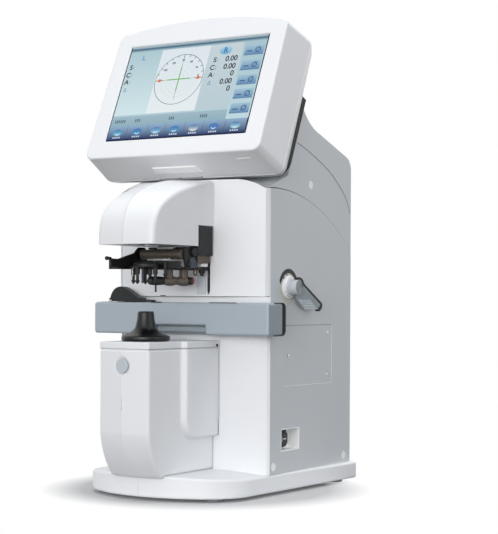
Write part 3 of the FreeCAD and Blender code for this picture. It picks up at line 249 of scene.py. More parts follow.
NUMBER, COLOUR, VECTOR = "NodeSocketFloat", "NodeSocketColor", "NodeSocketVector"
grain, grain_in, grain_out = group_tree(
    "moulded_grain",
    [
        ("Colour", COLOUR, (0.8, 0.8, 0.8, 1)),
        ("Shade", COLOUR, (0.7, 0.7, 0.7, 1)),
        ("Grain Scale", NUMBER, 2600.0),
        ("Grain Depth", NUMBER, 0.05),
        ("Roughness", NUMBER, 0.4),
        ("Roughness Drift", NUMBER, 0.06),
    ],
    [("Colour", COLOUR), ("Roughness", NUMBER), ("Normal", VECTOR)],
)
place = node(grain, "ShaderNodeTexCoord")
fine = node(grain, "ShaderNodeTexNoise", {"Detail": 2})
bump = node(grain, "ShaderNodeBump", {"Distance": 0.0002})
broad = node(grain, "ShaderNodeTexNoise", {"Scale": 14, "Detail": 3})
tint = node(grain, "ShaderNodeMix", data_type="RGBA")
drift = node(grain, "ShaderNodeMath", operation="MULTIPLY_ADD")
wires(
    grain,
    (place, "Object", fine, "Vector"),
    (grain_in, "Grain Scale", fine, "Scale"),
    (grain_in, "Grain Depth", bump, "Strength"),
    (fine, "Fac", bump, "Height"),
    (place, "Object", broad, "Vector"),
    (broad, "Fac", tint, 0),
    (grain_in, "Colour", tint, 6),
    (grain_in, "Shade", tint, 7),
    (broad, "Fac", drift, 0),
    (grain_in, "Roughness Drift", drift, 1),
    (grain_in, "Roughness", drift, 2),
    (tint, 2, grain_out, "Colour"),
    (drift, 0, grain_out, "Roughness"),
    (bump, 0, grain_out, "Normal"),
)

# %% Node group: ground metal
lines, lines_in, lines_out = group_tree(
    "ground_metal",
    [
        ("Colour", COLOUR, (0.5, 0.5, 0.5, 1)),
        ("Dark", COLOUR, (0.3, 0.3, 0.3, 1)),
        ("Line Scale", NUMBER, 900.0),
        ("Roughness", NUMBER, 0.28),
    ],
    [("Colour", COLOUR), ("Roughness", NUMBER), ("Normal", VECTOR)],
)
place = node(lines, "ShaderNodeTexCoord")
stretch = node(lines, "ShaderNodeMapping", {"Scale": (1, 1, 0.06)})
scratch = node(lines, "ShaderNodeTexNoise", {"Detail": 3})
blend = node(lines, "ShaderNodeMix", data_type="RGBA")
rough = node(lines, "ShaderNodeMath", {1: 0.2}, operation="MULTIPLY_ADD")
ridges = node(lines, "ShaderNodeBump", {"Strength": 0.08, "Distance": 0.0001})
wires(
    lines,
    (place, "Object", stretch, "Vector"),
    (stretch, 0, scratch, "Vector"),
    (lines_in, "Line Scale", scratch, "Scale"),
    (scratch, "Fac", blend, 0),
    (lines_in, "Dark", blend, 6),
    (lines_in, "Colour", blend, 7),
    (scratch, "Fac", rough, 0),
    (lines_in, "Roughness", rough, 2),
    (scratch, "Fac", ridges, "Height"),
    (blend, 2, lines_out, "Colour"),
    (rough, 0, lines_out, "Roughness"),
    (ridges, 0, lines_out, "Normal"),
)
print("node groups", [group.name for group in bpy.data.node_groups])

# %% Material makers


def linear(red, green, blue):
    """A colour that is given as it looks on a screen, from 0 to 255."""
    return tuple(
        part / 12.92 if part <= 0.04045 else ((part + 0.055) / 1.055) ** 2.4
        for part in (red / 255, green / 255, blue / 255)
    ) + (1.0,)


def new_material(name, group, values):
    """A Principled material whose colour, roughness and normal come from one of the groups."""
    material = bpy.data.materials.new(name)
    material.use_nodes = True
    tree = material.node_tree
    shader = tree.nodes["Principled BSDF"]
    effect = node(tree, "ShaderNodeGroup", node_tree=group)
    for label, value in values.items():
        effect.inputs[label].default_value = value
    wires(
        tree,
        (effect, "Colour", shader, "Base Color"),
        (effect, "Roughness", shader, "Roughness"),
        (effect, "Normal", shader, "Normal"),
    )
    return material, shader


finish = {}


def plastic(name, rgb, roughness=0.4, depth=0.05, scale=2600.0, contrast=0.965, gloss=0.5):
    colour = linear(*rgb)
    shade = tuple(part * contrast for part in colour[:3]) + (1.0,)
    values = {
        "Colour": colour,
        "Shade": shade,
        "Grain Scale": scale,
        "Grain Depth": depth,
        "Roughness": roughness - 0.03,
    }
    material, shader = new_material(name, grain, values)
    shader.inputs["Specular IOR Level"].default_value = gloss
    finish[name] = material


def metal(name, rgb, dark, roughness=0.28, scale=900.0, metallic=1.0):
    values = {"Colour": linear(*rgb), "Dark": linear(*dark), "Line Scale": scale, "Roughness": roughness}
    material, shader = new_material(name, lines, values)
    shader.inputs["Metallic"].default_value = metallic
    finish[name] = material


# %% The machine's own finishes
plastic("white_cover", (240, 241, 243), 0.36)
plastic("side_cover", (208, 212, 215), 0.42, depth=0.08)
plastic("table_grey", (172, 182, 190), 0.38)
# the table's grey made darker for its end faces: painted shade
plastic("table_end_shade", (140, 150, 159), 0.42)
plastic("black_rubber", (38, 40, 40), 0.75, depth=0.12, contrast=0.8)
plastic("black_plastic", (11, 11, 12), 0.5, depth=0.08, contrast=0.8, gloss=0.35)
plastic("black_gloss", (9, 10, 12), 0.28, depth=0.01, contrast=0.8, gloss=0.35)
plastic("button_grey", (196, 204, 210), 0.35)
plastic("lever_grey", (150, 159, 168), 0.36)
plastic("hub_grey", (200, 206, 212), 0.34)
plastic("cream_trim", (208, 206, 197), 0.4)
plastic("pocket_white", (253, 253, 253), 0.45)
plastic("red_tip", (112, 26, 40), 0.4, contrast=0.8)
plastic("cap_white", (253, 253, 253), 0.35, contrast=0.99)
plastic("seam_grey", (132, 137, 141), 0.5)
plastic("seam_light", (212, 215, 219), 0.5)
plastic("seam_dark", (84, 88, 92), 0.5)
plastic("strip_white", (208, 213, 217), 0.4)
plastic("black_satin", (18, 20, 22), 0.4, depth=0.06, contrast=0.8, gloss=0.35)
plastic("blue_black", (44, 58, 74), 0.4, contrast=0.8)
plastic("lever_face", (140, 150, 155), 0.4)
plastic("rib_face", (176, 188, 194), 0.4)
plastic("rib_grey", (214, 222, 226), 0.4)
plastic("icon_white", (240, 240, 240), 0.5)
plastic("circuit_board", (28, 92, 52), 0.35, scale=600.0, contrast=0.7)
metal("steel", (200, 200, 200), (150, 150, 150))
metal("sheet_metal", (190, 191, 193), (150, 151, 154), 0.4)
metal("dark_metal", (104, 95, 86), (72, 64, 57), 0.42, metallic=0.35)
metal("brass", (206, 172, 96), (150, 118, 60), 0.3)
metal("screw_steel", (150, 152, 155), (90, 92, 95), 0.35)
glass, shader = new_material(
    "clear_glass",
    grain,
    {
        "Colour": linear(235, 245, 250),
        "Shade": linear(225, 240, 248),
        "Grain Depth": 0.0,
        "Roughness": 0.02,
        "Roughness Drift": 0.02,
    },
)
shader.inputs["Transmission Weight"].default_value = 0.9
finish["clear_glass"] = glass
print("finishes", len(finish))

# %% [markdown]
# ## From frame to moulded part
# A CAD solid ends in knife-sharp edges, and a moulding never does. `soften` copies a node's mesh,
# joins its loose triangles, clears the needless edges on flat faces and rounds every real edge with a
# small bevel. The copy then stands for the node. The frame's own mesh is left as it is.

# %% Softening a node


def finish_piece(piece, body, material):
    piece.data.materials.clear()
    piece.data.materials.append(finish[material])
    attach(piece, body)
    return piece


LOOSE = ("nose_housing", "spectacle_table")


def round_edges(piece, radius, sharp, steps, clamp=True):
    """Bevels the sharp edges, keeps flat faces evenly lit and bakes the result into the mesh."""
    for face in piece.data.polygons:
        face.use_smooth = True
    if radius:
        bevel = piece.modifiers.new("edges", "BEVEL")
        bevel.width = radius * MM
        bevel.segments = steps
        bevel.limit_method = "ANGLE"
        bevel.angle_limit = math.radians(sharp)
        bevel.use_clamp_overlap = clamp
    even = piece.modifiers.new("even", "WEIGHTED_NORMAL")
    even.keep_sharp = True
    made = bpy.data.meshes.new_from_object(piece.evaluated_get(bpy.context.evaluated_depsgraph_get()))
    piece.modifiers.clear()
    piece.data = made


def soften(name, radius, material=None, sharp=28, steps=3, crease=False):
    """A copy of a node with rounded edges, in the node's place. The radius is in millimetres."""
    form = bmesh.new()
    form.from_mesh(nodes[name].data)
    bmesh.ops.remove_doubles(form, verts=form.verts, dist=2e-6)
    bmesh.ops.dissolve_limit(form, angle_limit=math.radians(0.6), verts=form.verts, edges=form.edges)
    for edge in form.edges:
        edge.smooth = not (crease and all(abs(vert.co.x) < 0.05 * MM for vert in edge.verts))
    mesh = bpy.data.meshes.new(name + "_moulded")
    form.to_mesh(mesh)
    form.free()
    piece = bpy.data.objects.new(name + "_moulded", mesh)
    scene.collection.objects.link(piece)
    round_edges(piece, radius, sharp, steps, name not in LOOSE)
    finish_piece(piece, body_of[name], material or slot_of[name])
    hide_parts(name)
    return piece


# %% [markdown]
# ## Building from listed points
# Some pieces differ from their CAD solid in more than the edges: the little arms and pins of the lens
# holder, the turned nosepiece, the lever. Their meshes are built from a few plain moves: a skin over
# rings of points, a straight bar with a drawn section, a turned solid, and a tube along a path. Each
# move adds to the one form on the bench, and `done` takes that form off as a finished piece.

# %% Moves for building a mesh


ACROSS, BACK, UP = (1, 0, 0), (0, 1, 0), (0, 0, 1)
form = bmesh.new()


def skin(rings, paint=0, closed=False):
    """Faces between rings with the same number of points, and a lid at each end."""
    loops = [[form.verts.new(Vector(point) * MM) for point in ring] for ring in rings]
    made = []
    for first, second in list(zip(loops, loops[1:])) + ([(loops[-1], loops[0])] if closed else []):
        for here in range(len(first)):
            there = (here + 1) % len(first)
            made.append(form.faces.new((first[here], first[there], second[there], second[here])))
    if not closed:
        made += [form.faces.new(loops[0]), form.faces.new(loops[-1])]
    for face in made:
        face.material_index = paint


def prism(outline, axis, low, high, paint=0):
    """A straight bar: an outline in the plane across an axis, from one place on the axis to another."""
    at = "XYZ".index(axis)
    skin([[(*point[:at], place, *point[at:]) for point in outline] for place in (low, high)], paint)


def block(low, high, paint=0):
    outline = [(low[0], low[1]), (high[0], low[1]), (high[0], high[1]), (low[0], high[1])]
    prism(outline, "Z", low[2], high[2], paint)


def turned(start, direction, profile, sides=32, paint=0, closed=False):
    """A solid turned about an axis. The profile gives pairs of distance along the axis and radius."""
    turn = Vector(direction).to_track_quat("Z", "Y").to_matrix()
    rings = []
    for along, radius in profile:
        angles = [2 * math.pi * step / sides for step in range(sides)]
        rings.append(
            [
                Vector(start) + turn @ Vector((radius * math.cos(a), radius * math.sin(a), along))
                for a in angles
            ]
        )
    skin(rings, paint, closed)


def rod(start, end, radius, sides=20, paint=0):
    """A round bar with a small chamfer at both ends."""
    span = Vector(end) - Vector(start)
    cut = min(0.3, radius * 0.3)
    profile = [(0, radius - cut), (cut, radius), (span.length - cut, radius), (span.length, radius - cut)]
    turned(start, span, profile, sides, paint)


def bar(start, end, width, height, paint=0):
    """A flat bar from one point to another, with its width level and its height across."""
    start, end = Vector(start), Vector(end)
    along = (end - start).normalized()
    level = along.cross(Vector((0, 0, 1))).normalized() * width / 2
    up = level.cross(along).normalized() * height / 2
    rings = [
        [spot + level + up, spot - level + up, spot - level - up, spot + level - up]
        for spot in (start, end)
    ]
    skin(rings, paint)


def tube(points, radius, sides=10, paint=0, closed=False):
    """A round bar that follows points."""
    spots = [Vector(point) for point in points]
    count = len(spots)
    rings = []
    for here, spot in enumerate(spots):
        before = spots[here - 1] if closed or here else spot
        after = spots[(here + 1) % count] if closed or here < count - 1 else spot
        turn = (after - before).to_track_quat("Z", "Y").to_matrix()
        angles = [2 * math.pi * step / sides for step in range(sides)]
        rings.append([spot + turn @ Vector((radius * math.cos(a), radius * math.sin(a), 0)) for a in angles])
    skin(rings, paint, closed)


def arc(centre, radius, first, last, steps=12):
    """Points on an arc in a plane; the angles are in degrees."""
    angles = [math.radians(first + (last - first) * step / steps) for step in range(steps + 1)]
    return [(centre[0] + radius * math.cos(a), centre[1] + radius * math.sin(a)) for a in angles]


def take_form(name):
    """Takes the form off the bench as an object, and clears the bench for the next one."""
    bmesh.ops.recalc_face_normals(form, faces=form.faces)
    mesh = bpy.data.meshes.new(name)
    form.to_mesh(mesh)
    form.clear()
    piece = bpy.data.objects.new(name, mesh)
    scene.collection.objects.link(piece)
    return piece


def done(name, body, slot, materials, rounding=0.0, sharp=30, steps=2, instead=()):
    """Makes the form a piece that rides on a body, with its edges rounded. The slot is not used."""
    slot = slot_of.get(slot, slot)
    piece = take_form(name)
    for material in materials:
        piece.data.materials.append(finish[material])
    piece.data.shade_smooth()
    piece.data.set_sharp_from_angle(angle=math.radians(sharp))
    round_edges(piece, rounding, sharp, steps)
    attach(piece, body)
    if instead:
        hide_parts(*instead)
    print("built", name, len(piece.data.polygons), "faces")
    return piece


# %% [markdown]
# ## Things that repeat
# Ribs, knurls, screws, springs and tick marks are each one small shape, repeated. Geometry Nodes do
# that well: the number, the spacing and the size are inputs of a tree, so one tree serves many pieces.

# %% Geometry Nodes: making a tree and growing a piece from it
WHOLE, NUMBERS, PLACE, FINISH = "NodeSocketInt", "NodeSocketFloat", "NodeSocketVector", "NodeSocketMaterial"


def new_tree(name, inputs):
    tree = bpy.data.node_groups.new(name, "GeometryNodeTree")
    for label, kind in inputs + [("Finish", FINISH)]:
        tree.interface.new_socket(name=label, in_out="INPUT", socket_type=kind)
    tree.interface.new_socket(name="Geometry", in_out="OUTPUT", socket_type="NodeSocketGeometry")
    return tree, tree.nodes.new("NodeGroupInput"), tree.nodes.new("NodeGroupOutput")


def end_tree(tree, start, source, output, out):
    """The tree's end: real geometry in place of instances, and the finish."""
    real = node(tree, "GeometryNodeRealizeInstances")
    paint = node(tree, "GeometryNodeSetMaterial")
    wires(
        tree,
        (source, output, real, 0),
        (real, 0, paint, "Geometry"),
        (start, "Finish", paint, "Material"),
        (paint, 0, out, 0),
    )


def grow(name, tree, values, body, slot, material, spin=None, points=()):
    """Runs a tree, keeps its plain mesh and lets it ride on a body. Lengths are in millimetres.

    The slot is not used.
    """
    slot = slot_of.get(slot, slot)
    mesh = bpy.data.meshes.new(name)
    mesh.from_pydata([Vector(point) * MM for point in points], [], [])
    piece = bpy.data.objects.new(name, mesh)
    scene.collection.objects.link(piece)
    modifier = piece.modifiers.new("grown", "NODES")
    modifier.node_group = tree
    parts = [item for item in tree.interface.items_tree if item.item_type == "SOCKET"]
    sockets = {item.name: item for item in parts if item.in_out == "INPUT"}
    for label, value in dict(values, Finish=finish[material]).items():
        if sockets[label].socket_type == NUMBERS:
            value = value * MM
        elif sockets[label].socket_type == PLACE:
            value = [part * MM for part in value]
        modifier[sockets[label].identifier] = value
    mesh = bpy.data.meshes.new_from_object(piece.evaluated_get(bpy.context.evaluated_depsgraph_get()))
    piece.modifiers.clear()
    if spin:
        mesh.transform(spin)
    mesh.shade_smooth()
    mesh.set_sharp_from_angle(angle=math.radians(30))
    piece.data = mesh
    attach(piece, body)
    print("grown", name, len(mesh.polygons), "faces")
    return piece


def setting(start, direction):
    """Stands a piece that was grown upright at the origin at a place, along a direction."""
    turn = Vector(direction).to_track_quat("Z", "Y").to_matrix().to_4x4()
    return Matrix.Translation(Vector(start) * MM) @ turn


# %% Geometry Nodes: a row of ribs
row_tree, start, out = new_tree("row_of_ribs", [("Count", WHOLE), ("Step", PLACE), ("Rib", PLACE)])
line = node(row_tree, "GeometryNodeMeshLine")
rib = node(row_tree, "GeometryNodeMeshCube")
put = node(row_tree, "GeometryNodeInstanceOnPoints")
wires(
    row_tree,
    (start, "Count", line, "Count"),
    (start, "Step", line, "Offset"),
    (start, "Rib", rib, "Size"),
    (line, 0, put, "Points"),
    (rib, 0, put, "Instance"),
)
end_tree(row_tree, start, put, 0, out)

# %% Geometry Nodes: a ring of ribs, for knurls and dials
ring_tree, start, out = new_tree("ring_of_ribs", [("Count", WHOLE), ("Radius", NUMBERS), ("Rib", PLACE)])
circle = node(ring_tree, "GeometryNodeMeshCircle", fill_type="NONE")
rib = node(ring_tree, "GeometryNodeMeshCube")
put = node(ring_tree, "GeometryNodeInstanceOnPoints")
index = node(ring_tree, "GeometryNodeInputIndex")
share = node(ring_tree, "ShaderNodeMath", operation="DIVIDE")
angle = node(ring_tree, "ShaderNodeMath", {1: 2 * math.pi}, operation="MULTIPLY")
turn = node(ring_tree, "ShaderNodeCombineXYZ")
wires(
    ring_tree,
    (start, "Count", circle, "Vertices"),
    (start, "Radius", circle, "Radius"),
    (start, "Rib", rib, "Size"),
    (index, 0, share, 0),
    (start, "Count", share, 1),
    (share, 0, angle, 0),
    (angle, 0, turn, "Z"),
    (circle, 0, put, "Points"),
    (rib, 0, put, "Instance"),
    (turn, 0, put, "Rotation"),
)
end_tree(ring_tree, start, put, 0, out)

# %% Geometry Nodes: a coil spring
coil_tree, start, out = new_tree(
    "coil_spring", [("Turns", WHOLE), ("Radius", NUMBERS), ("Length", NUMBERS), ("Wire", NUMBERS)]
)
spiral = node(coil_tree, "GeometryNodeCurveSpiral", {"Resolution": 14})
section = node(coil_tree, "GeometryNodeCurvePrimitiveCircle", {"Resolution": 6})
sweep = node(coil_tree, "GeometryNodeCurveToMesh", {"Fill Caps": True})
wires(
    coil_tree,
    (start, "Turns", spiral, "Rotations"),
    (start, "Radius", spiral, "Start Radius"),
    (start, "Radius", spiral, "End Radius"),
    (start, "Length", spiral, "Height"),
    (start, "Wire", section, "Radius"),
    (spiral, 0, sweep, "Curve"),
    (section, 0, sweep, "Profile Curve"),
)
end_tree(coil_tree, start, sweep, 0, out)
print("trees", [group.name for group in bpy.data.node_groups])

# %% [markdown]
# ## Covers
# The covers, panels and the table are plain mouldings, so their CAD solids only need soft edges. The
# lower housing and the head have a fold down their middle. The fold stays crisp there, as the mould's
# two halves meet on it, while the outer corners are generously round.

# %% Rounded mouldings
EDGE = {
    "base_plate": 2.2,
    "lower_front_cover": 0.8,
    "upper_front_cover": 0.8,
    "left_side_panel": 0.5,
    "right_side_panel": 0.5,
    "rear_cover": 0.5,
    "hood_cover": 0.8,
    "service_cover": 0.3,
    "switch_pocket": 0.35,
    "nose_housing": 2.6,
    "housing_lid": 1.0,
    "table_seals": 0.8,
    "screen_bezel": 2.6,
    "screen_back_cover": 2.0,
    "lever_collar": 0.6,
    "lever_escutcheon": 0.3,
    "read_button": 0.5,
    "rubber_feet": 0.6,
    "side_screw_caps": 0.3,
    "power_inlet": 0.5,
    "power_rocker": 0.5,
    "switch_case": 0.3,
    "lamp_window": 0.3,
    "lever_shaft": 0.3,
}
FOLDED = ("nose_housing", "housing_lid", "base_plate")
# The rubber feet take the mid grey of the shadow under the base instead of black, a painted shade.
FINISH_OF = {"side_screw_caps": "cap_white", "switch_pocket": "pocket_white", "rubber_feet": "seam_grey"}
for name, radius in EDGE.items():
    piece = soften(name, radius, FINISH_OF.get(name), crease=name in FOLDED)
    print("moulded", name, len(piece.data.polygons))

# %% [markdown]
# ## Head
# The head is the largest soft form. Its front folds along the middle, its two long edges are rounded
# by about four millimetres, and all of it bends back in one sweep to the column. It is built as a skin over
# stations along that sweep: the fold's line and the corner's line give each station's width.

# %% Head
HEAD_FOOT = 222.5
FOLD_LINE = [
    (-130.4, HEAD_FOOT), (-129.9, 237), (-127.2, 248.6), (-121.4, 258.5), (-112, 266.2), (-101, 271.4),
    (-86.8, 276.6), (-64.9, 281.2), (-46, 282.6), (-30, 283),
]  # fmt: skip
CORNER_LINE = [
    (-127.6, HEAD_FOOT), (-126.7, 238), (-122.6, 249.4), (-112.8, 259.6), (-97, 268), (-82, 273),
    (-64, 277.8), (-48, 280.9), (-36, 282.2), (-26, 282.7),
]  # fmt: skip


def smooth_path(points, steps=5):
    """A smooth curve through points."""
    spots = [Vector(points[0])] + [Vector(point) for point in points] + [Vector(points[-1])]
    path = []
    for a, b, c, d in zip(spots, spots[1:], spots[2:], spots[3:]):
        for step in range(steps):
            t = step / steps
            bend, twist = 2 * a - 5 * b + 4 * c - d, 3 * b - a - 3 * c + d
            cubic = 2 * b + (c - a) * t + bend * t * t + twist * t**3
            path.append(cubic * 0.5)
    return path + [Vector(points[-1])]


fold_path = smooth_path([(0, y, z) for y, z in FOLD_LINE])
corner_path = smooth_path([(0, y, z) for y, z in CORNER_LINE])
stations = []
for here, (fold, corner) in enumerate(zip(fold_path, corner_path)):
    along = corner_path[min(here + 1, len(corner_path) - 1)] - corner_path[max(here - 1, 0)]
    inward = Vector((0, along.z, -along.y)).normalized()
    if here == 0:
        inward = Vector((0, 1, 0))
    flat = fold.lerp(corner, 0.76)
    half = [
        (23, flat), (26.8, fold.lerp(corner, 0.9) + inward * 0.3), (28.7, corner + inward * 1.1),
        (29.7, corner + inward * 2.4), (30, corner + inward * 4.2)
    ]
    row = [Vector((-x, spot.y, spot.z)) for x, spot in reversed(half)]
    row += [Vector((0, fold.y, fold.z))] + [Vector((x, spot.y, spot.z)) for x, spot in half]
    stations.append([form.verts.new(spot * MM) for spot in row])
for first, second in zip(stations, stations[1:]):
    for left, rightmost in zip(range(10), range(1, 11)):
        form.faces.new((first[left], first[rightmost], second[rightmost], second[left]))
feet = [form.verts.new(Vector((x, -30, HEAD_FOOT)) * MM) for x in (-30, 30)]
form.faces.new([row[0] for row in stations] + [feet[0]])
form.faces.new([row[10] for row in stations] + [feet[1]])
form.faces.new(stations[0] + [feet[1], feet[0]])
form.faces.new(stations[-1] + [feet[1], feet[0]])
for edge in form.edges:
    edge.smooth = not all(abs(vert.co.x) < 0.01 * MM for vert in edge.verts)
head = take_form("head_moulding")
block((20, -59.2, 215), (34, -30, 241.2))
room = take_form("grip_room")
notch = head.modifiers.new("notch", "BOOLEAN")
notch.operation = "DIFFERENCE"
notch.object = room
mesh = bpy.data.meshes.new_from_object(head.evaluated_get(bpy.context.evaluated_depsgraph_get()))
head.modifiers.clear()
head.data = mesh
bpy.data.objects.remove(room)
mesh.shade_smooth()
mesh.set_sharp_from_angle(angle=math.radians(50))
for edge in mesh.edges:
    if all(abs(mesh.vertices[i].co.x) < 0.01 * MM for i in edge.vertices):
        edge.use_edge_sharp = True
round_edges(head, 0, 50, 2)
finish_piece(head, "root", "white_cover")
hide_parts("head_cover")
print("head faces", len(head.data.polygons))

# %% [markdown]
# The spectacle table's end faces get a darker copy of its grey, a painted shade for ends that catch less
# light than the front. Its copy carries two finishes, and each face picks one by the way it looks.

# %% Spectacle table
table = soften("spectacle_table", 2.4)
# faces that point sideways take the darker grey, a painted shade on the table's ends
table.data.materials.append(finish["table_end_shade"])
for face in table.data.polygons:
    face.material_index = int(abs(face.normal.x) > 0.8)
block((-31, -46.2, 172.2), (-19, -45.4, 172.9))
block((33, -46.2, 172.2), (62, -45.6, 172.7))
done("table_scale_line", "table", "pd_slider", ["black_plastic"])
print("table faces", len(table.data.polygons))

# %% [markdown]
# ## Pupil distance slider
# A black wedge with a round back rides on the table's rear edge. Its section along the table is a soft
# hump that runs out into a thin tail, with a small bright clip at the foot.

# %% Pupil distance slider
hump = [
    (-82, 172.9), (-82.2, 175.6), (-81.4, 178.6), (-79.6, 181.9), (-77, 184.4), (-73.8, 186.1),
    (-70.3, 186.8), (-66.8, 186.5), (-63, 185.2), (-57, 181.8), (-51.5, 178.6), (-48, 176.9), (-44, 176),
    (-43.6, 174.9), (-38, 174.6), (-32, 174.4), (-32, 172.9),
]  # fmt: skip
hump = [(-32 + (x + 32) * 0.925, z) for x, z in hump]
prism(hump, "Y", -45.3, -36.8)
prism([(-66, 180), (-62.6, 181.6), (-49.5, 175.6), (-49.5, 174.4), (-60, 174.4)], "Y", -45.9, -45.2)
done("pd_slider_grip", "slider", "pd_slider", ["black_satin"], 0.9, 40, 3, ["pd_slider"])
block((-79.6, -45.6, 173), (-76.6, -41, 174.6))
block((-79.6, -46, 173.6), (-78.6, -42.5, 176.2))
done("pd_slider_clip", "slider", "steel", ["steel"], 0.25)

# %% [markdown]
# ## Nosepiece
# The lens rests on the tip of the nosepiece, so it is a turned part in gloss black: a slim tapered
# neck, then a hollow curve that opens into a wide rim. One profile turned about its axis gives all of it.

# %% Nosepiece
flare = [(9.2, 150.8), (9.9, 149.6), (11.4, 148), (13.6, 146.3), (16.4, 144.8), (19.4, 143.6), (20.9, 142.9)]
profile = (
    [(3, 138.4), (3, 164.2), (3.4, 164.6), (5.9, 164.6), (6.6, 164.3), (7.2, 163.2), (7.6, 158)]
    + flare
    + [(21.35, 142.2), (21.35, 140.2), (20.9, 139.1), (19.8, 138.4)]
)
turned((0, -96.2, 0), UP, [(z, r) for r, z in profile], 72, closed=True)
done("nosepiece_turned", body_of["nosepiece"], "nosepiece", ["black_gloss"], 0, 40, 2, ["nosepiece"])

# %% [markdown]
# ## Slide grip
# The black grip at the head's rear lower corner is an L-shaped moulding with a plain front and two
# fine light edges, where its thin walls catch the lamp.

# %% Slide grip
low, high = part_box("slide_grip")
x0, y0, z0 = (part / MM for part in low)
x1, y1, z1 = (part / MM for part in high)
block((x0, y0, z0), (x1, y0 + 2.2, z1))
block((x1 - 2, y0 + 1, z0), (x1, y1, z1))
block((x0, y0 - 0.3, z1 - 3.2), (x1 - 0.4, y0 + 1, z1 - 0.4))
done("slide_grip_moulding", "holder", "slide_grip", ["black_satin"], 0.5, 30, 2, ["slide_grip"])

# %% [markdown]
# ## Lever
# The lever is a grey hub with fine turned rings and a paddle that hangs from it. The paddle's lower
# face is ribbed for the finger and a black band runs along its upper edge.

# %% Lever hub
AXIS = Vector((0, 9.2, 186.9))
rings = [(82.8, 6.4), (83.4, 7), (85.6, 7.05)]
for groove in (86.1, 88.3, 90.5):
    rings += [(groove, 7.05), (groove + 0.15, 6.8), (groove + 0.45, 6.8), (groove + 0.6, 7.05)]
turned(AXIS, ACROSS, rings + [(93.2, 7.0), (93.8, 6.5)], 64)
turned(AXIS, ACROSS, [(93.7, 6.3), (94, 6.2)], 48, 1)
for radius in (5.4, 4.2, 3.0, 1.8):
    ring = [(radius - 0.22, 93.9), (radius - 0.1, 94.12), (radius + 0.1, 94.12), (radius + 0.22, 93.9)]
    turned(AXIS, ACROSS, [(x, r) for r, x in ring], 48, 1, closed=True)
done("lever_hub", "lever", "lever_arm", ["hub_grey", "lever_face"], 0, 30, 2, ["lever_arm"])

# %% Lever paddle and its band
near = [(94, 12, 191), (94, 12, 186.3), (85.8, 13, 180.2), (85.8, 12, 190)]
far = [(94, 48.4, 171.2), (94, 43.4, 166.3), (85.8, 32.5, 166.1), (85.8, 45.5, 171)]
skin([near, far])
paddle = done("lever_paddle", "lever", "lever_arm", ["lever_face", "rib_face"], 0.5)
for face in paddle.data.polygons:
    face.material_index = int(face.normal.z < -0.3)
outer = arc((9.2, 186.9), 8.9, 112, 22, 10) + [
    (50.2, 172.6), (51.3, 170.4), (50, 167.3), (46.6, 164.9), (44.2, 164.9)
]
inner = [(43.3, 166.2), (46, 167.4), (48.4, 171.0), (16.8, 188)] + arc((9.2, 186.9), 7.05, 14, 112, 10)
prism(outer + inner, "X", 90.6, 94.2)
done("lever_band", "lever", "table_seals", ["black_rubber"], 0.3)

# %% Ribs under the lever
turn = math.atan2(10.5, 8.2)
step = Matrix.Rotation(-turn, 3, "Z") @ Vector((0, -2.3, 1.55))
set_ribs = Matrix.Translation(Vector((90, 36.4, 167.2)) * MM) @ Matrix.Rotation(turn, 4, "Z")
row = {"Count": 6, "Step": tuple(step), "Rib": (12.2, 0.8, 0.75)}
ribs = grow("lever_ribs", row_tree, row, "lever", "lever_arm", "rib_grey", set_ribs)
print("lever ribs", len(ribs.data.polygons))

# %% [markdown]
# Round the lever's foot lies a cream disc in a shallow seat. The shade that the seat's edge casts above
# the disc is painted as a black crescent, and two small screws hold the disc.

# %% Lever seat
# The crescent is a painted shadow: a black sheet where the seat's edge casts shade on the disc.
crescent = arc((9.2, 186.9), 16.6, -12, 160, 30) + list(reversed(arc((9.6, 183.9), 15.6, 2, 158, 30)))
prism(crescent, "X", 81.8, 82.75)
done("lever_seat_shadow", "root", "table_seals", ["black_plastic"])
turned(AXIS, ACROSS, [(82, 10.6), (83.4, 10.6), (83.8, 10.2), (83.8, 8.8), (82, 8.8)], 56, closed=True)
done("lever_white_ring", "root", "lever_escutcheon", ["cap_white"])
for number, (y, z) in enumerate(((6.8, 197.2), (0.8, 195.4))):
    spot = (82.2, y, z)
    turned(spot, ACROSS, [(0, 1.25), (0.5, 1.25), (0.7, 1.0), (0.7, 0.5), (0.35, 0.45)], 20)
    done(f"lever_seat_screw_{number + 1}", "root", "steel", ["screw_steel"])

# %% [markdown]
# ## Lens holder
# A blackened carrier slides on the post behind the head. It holds three spring pins that press the
# lens on the nosepiece, and brown anodised posts with a tube between them. The parts are bars and turned
# pins, each a few millimetres thick, set on the node's own places.

# %% Lens holder: carrier and posts
block((24.5, -37.2, 203), (25.6, -35.9, 232))
bar((24.5, -37, 202.6), (1, -93, 202.6), 4.6, 2.8)
turned(
    (0, -96.2, 203), UP, [(0, 6.3), (0, 10.8), (0.4, 11.2), (3.2, 11.2), (3.6, 10.8), (3.6, 6.3)], 48,
    closed=True
)
block((21, -57, 207.5), (28, -37, 214.2), 1)
turned((27, -60.4, 218.4), BACK, [(0, 3), (0.5, 3.5), (3, 3.5)], 28)
turned((27, -60.7, 218.4), BACK, [(0, 1.4), (0.6, 1.5)], 20, 2)
block((22, -48, 204.5), (26.2, -38, 207.7), 3)
for x, y in ((9, -75), (15.5, -60.7)):
    turned((x, y, 193), UP, [(0, 3.6), (0.8, 4.1), (7.5, 4.1), (9, 3.7)], 28, 1)
done(
    "holder_carrier", "holder", "holder_frame", ["black_plastic", "dark_metal", "steel", "cap_white"],
    0.35, 40, 2, ["holder_frame"]
)

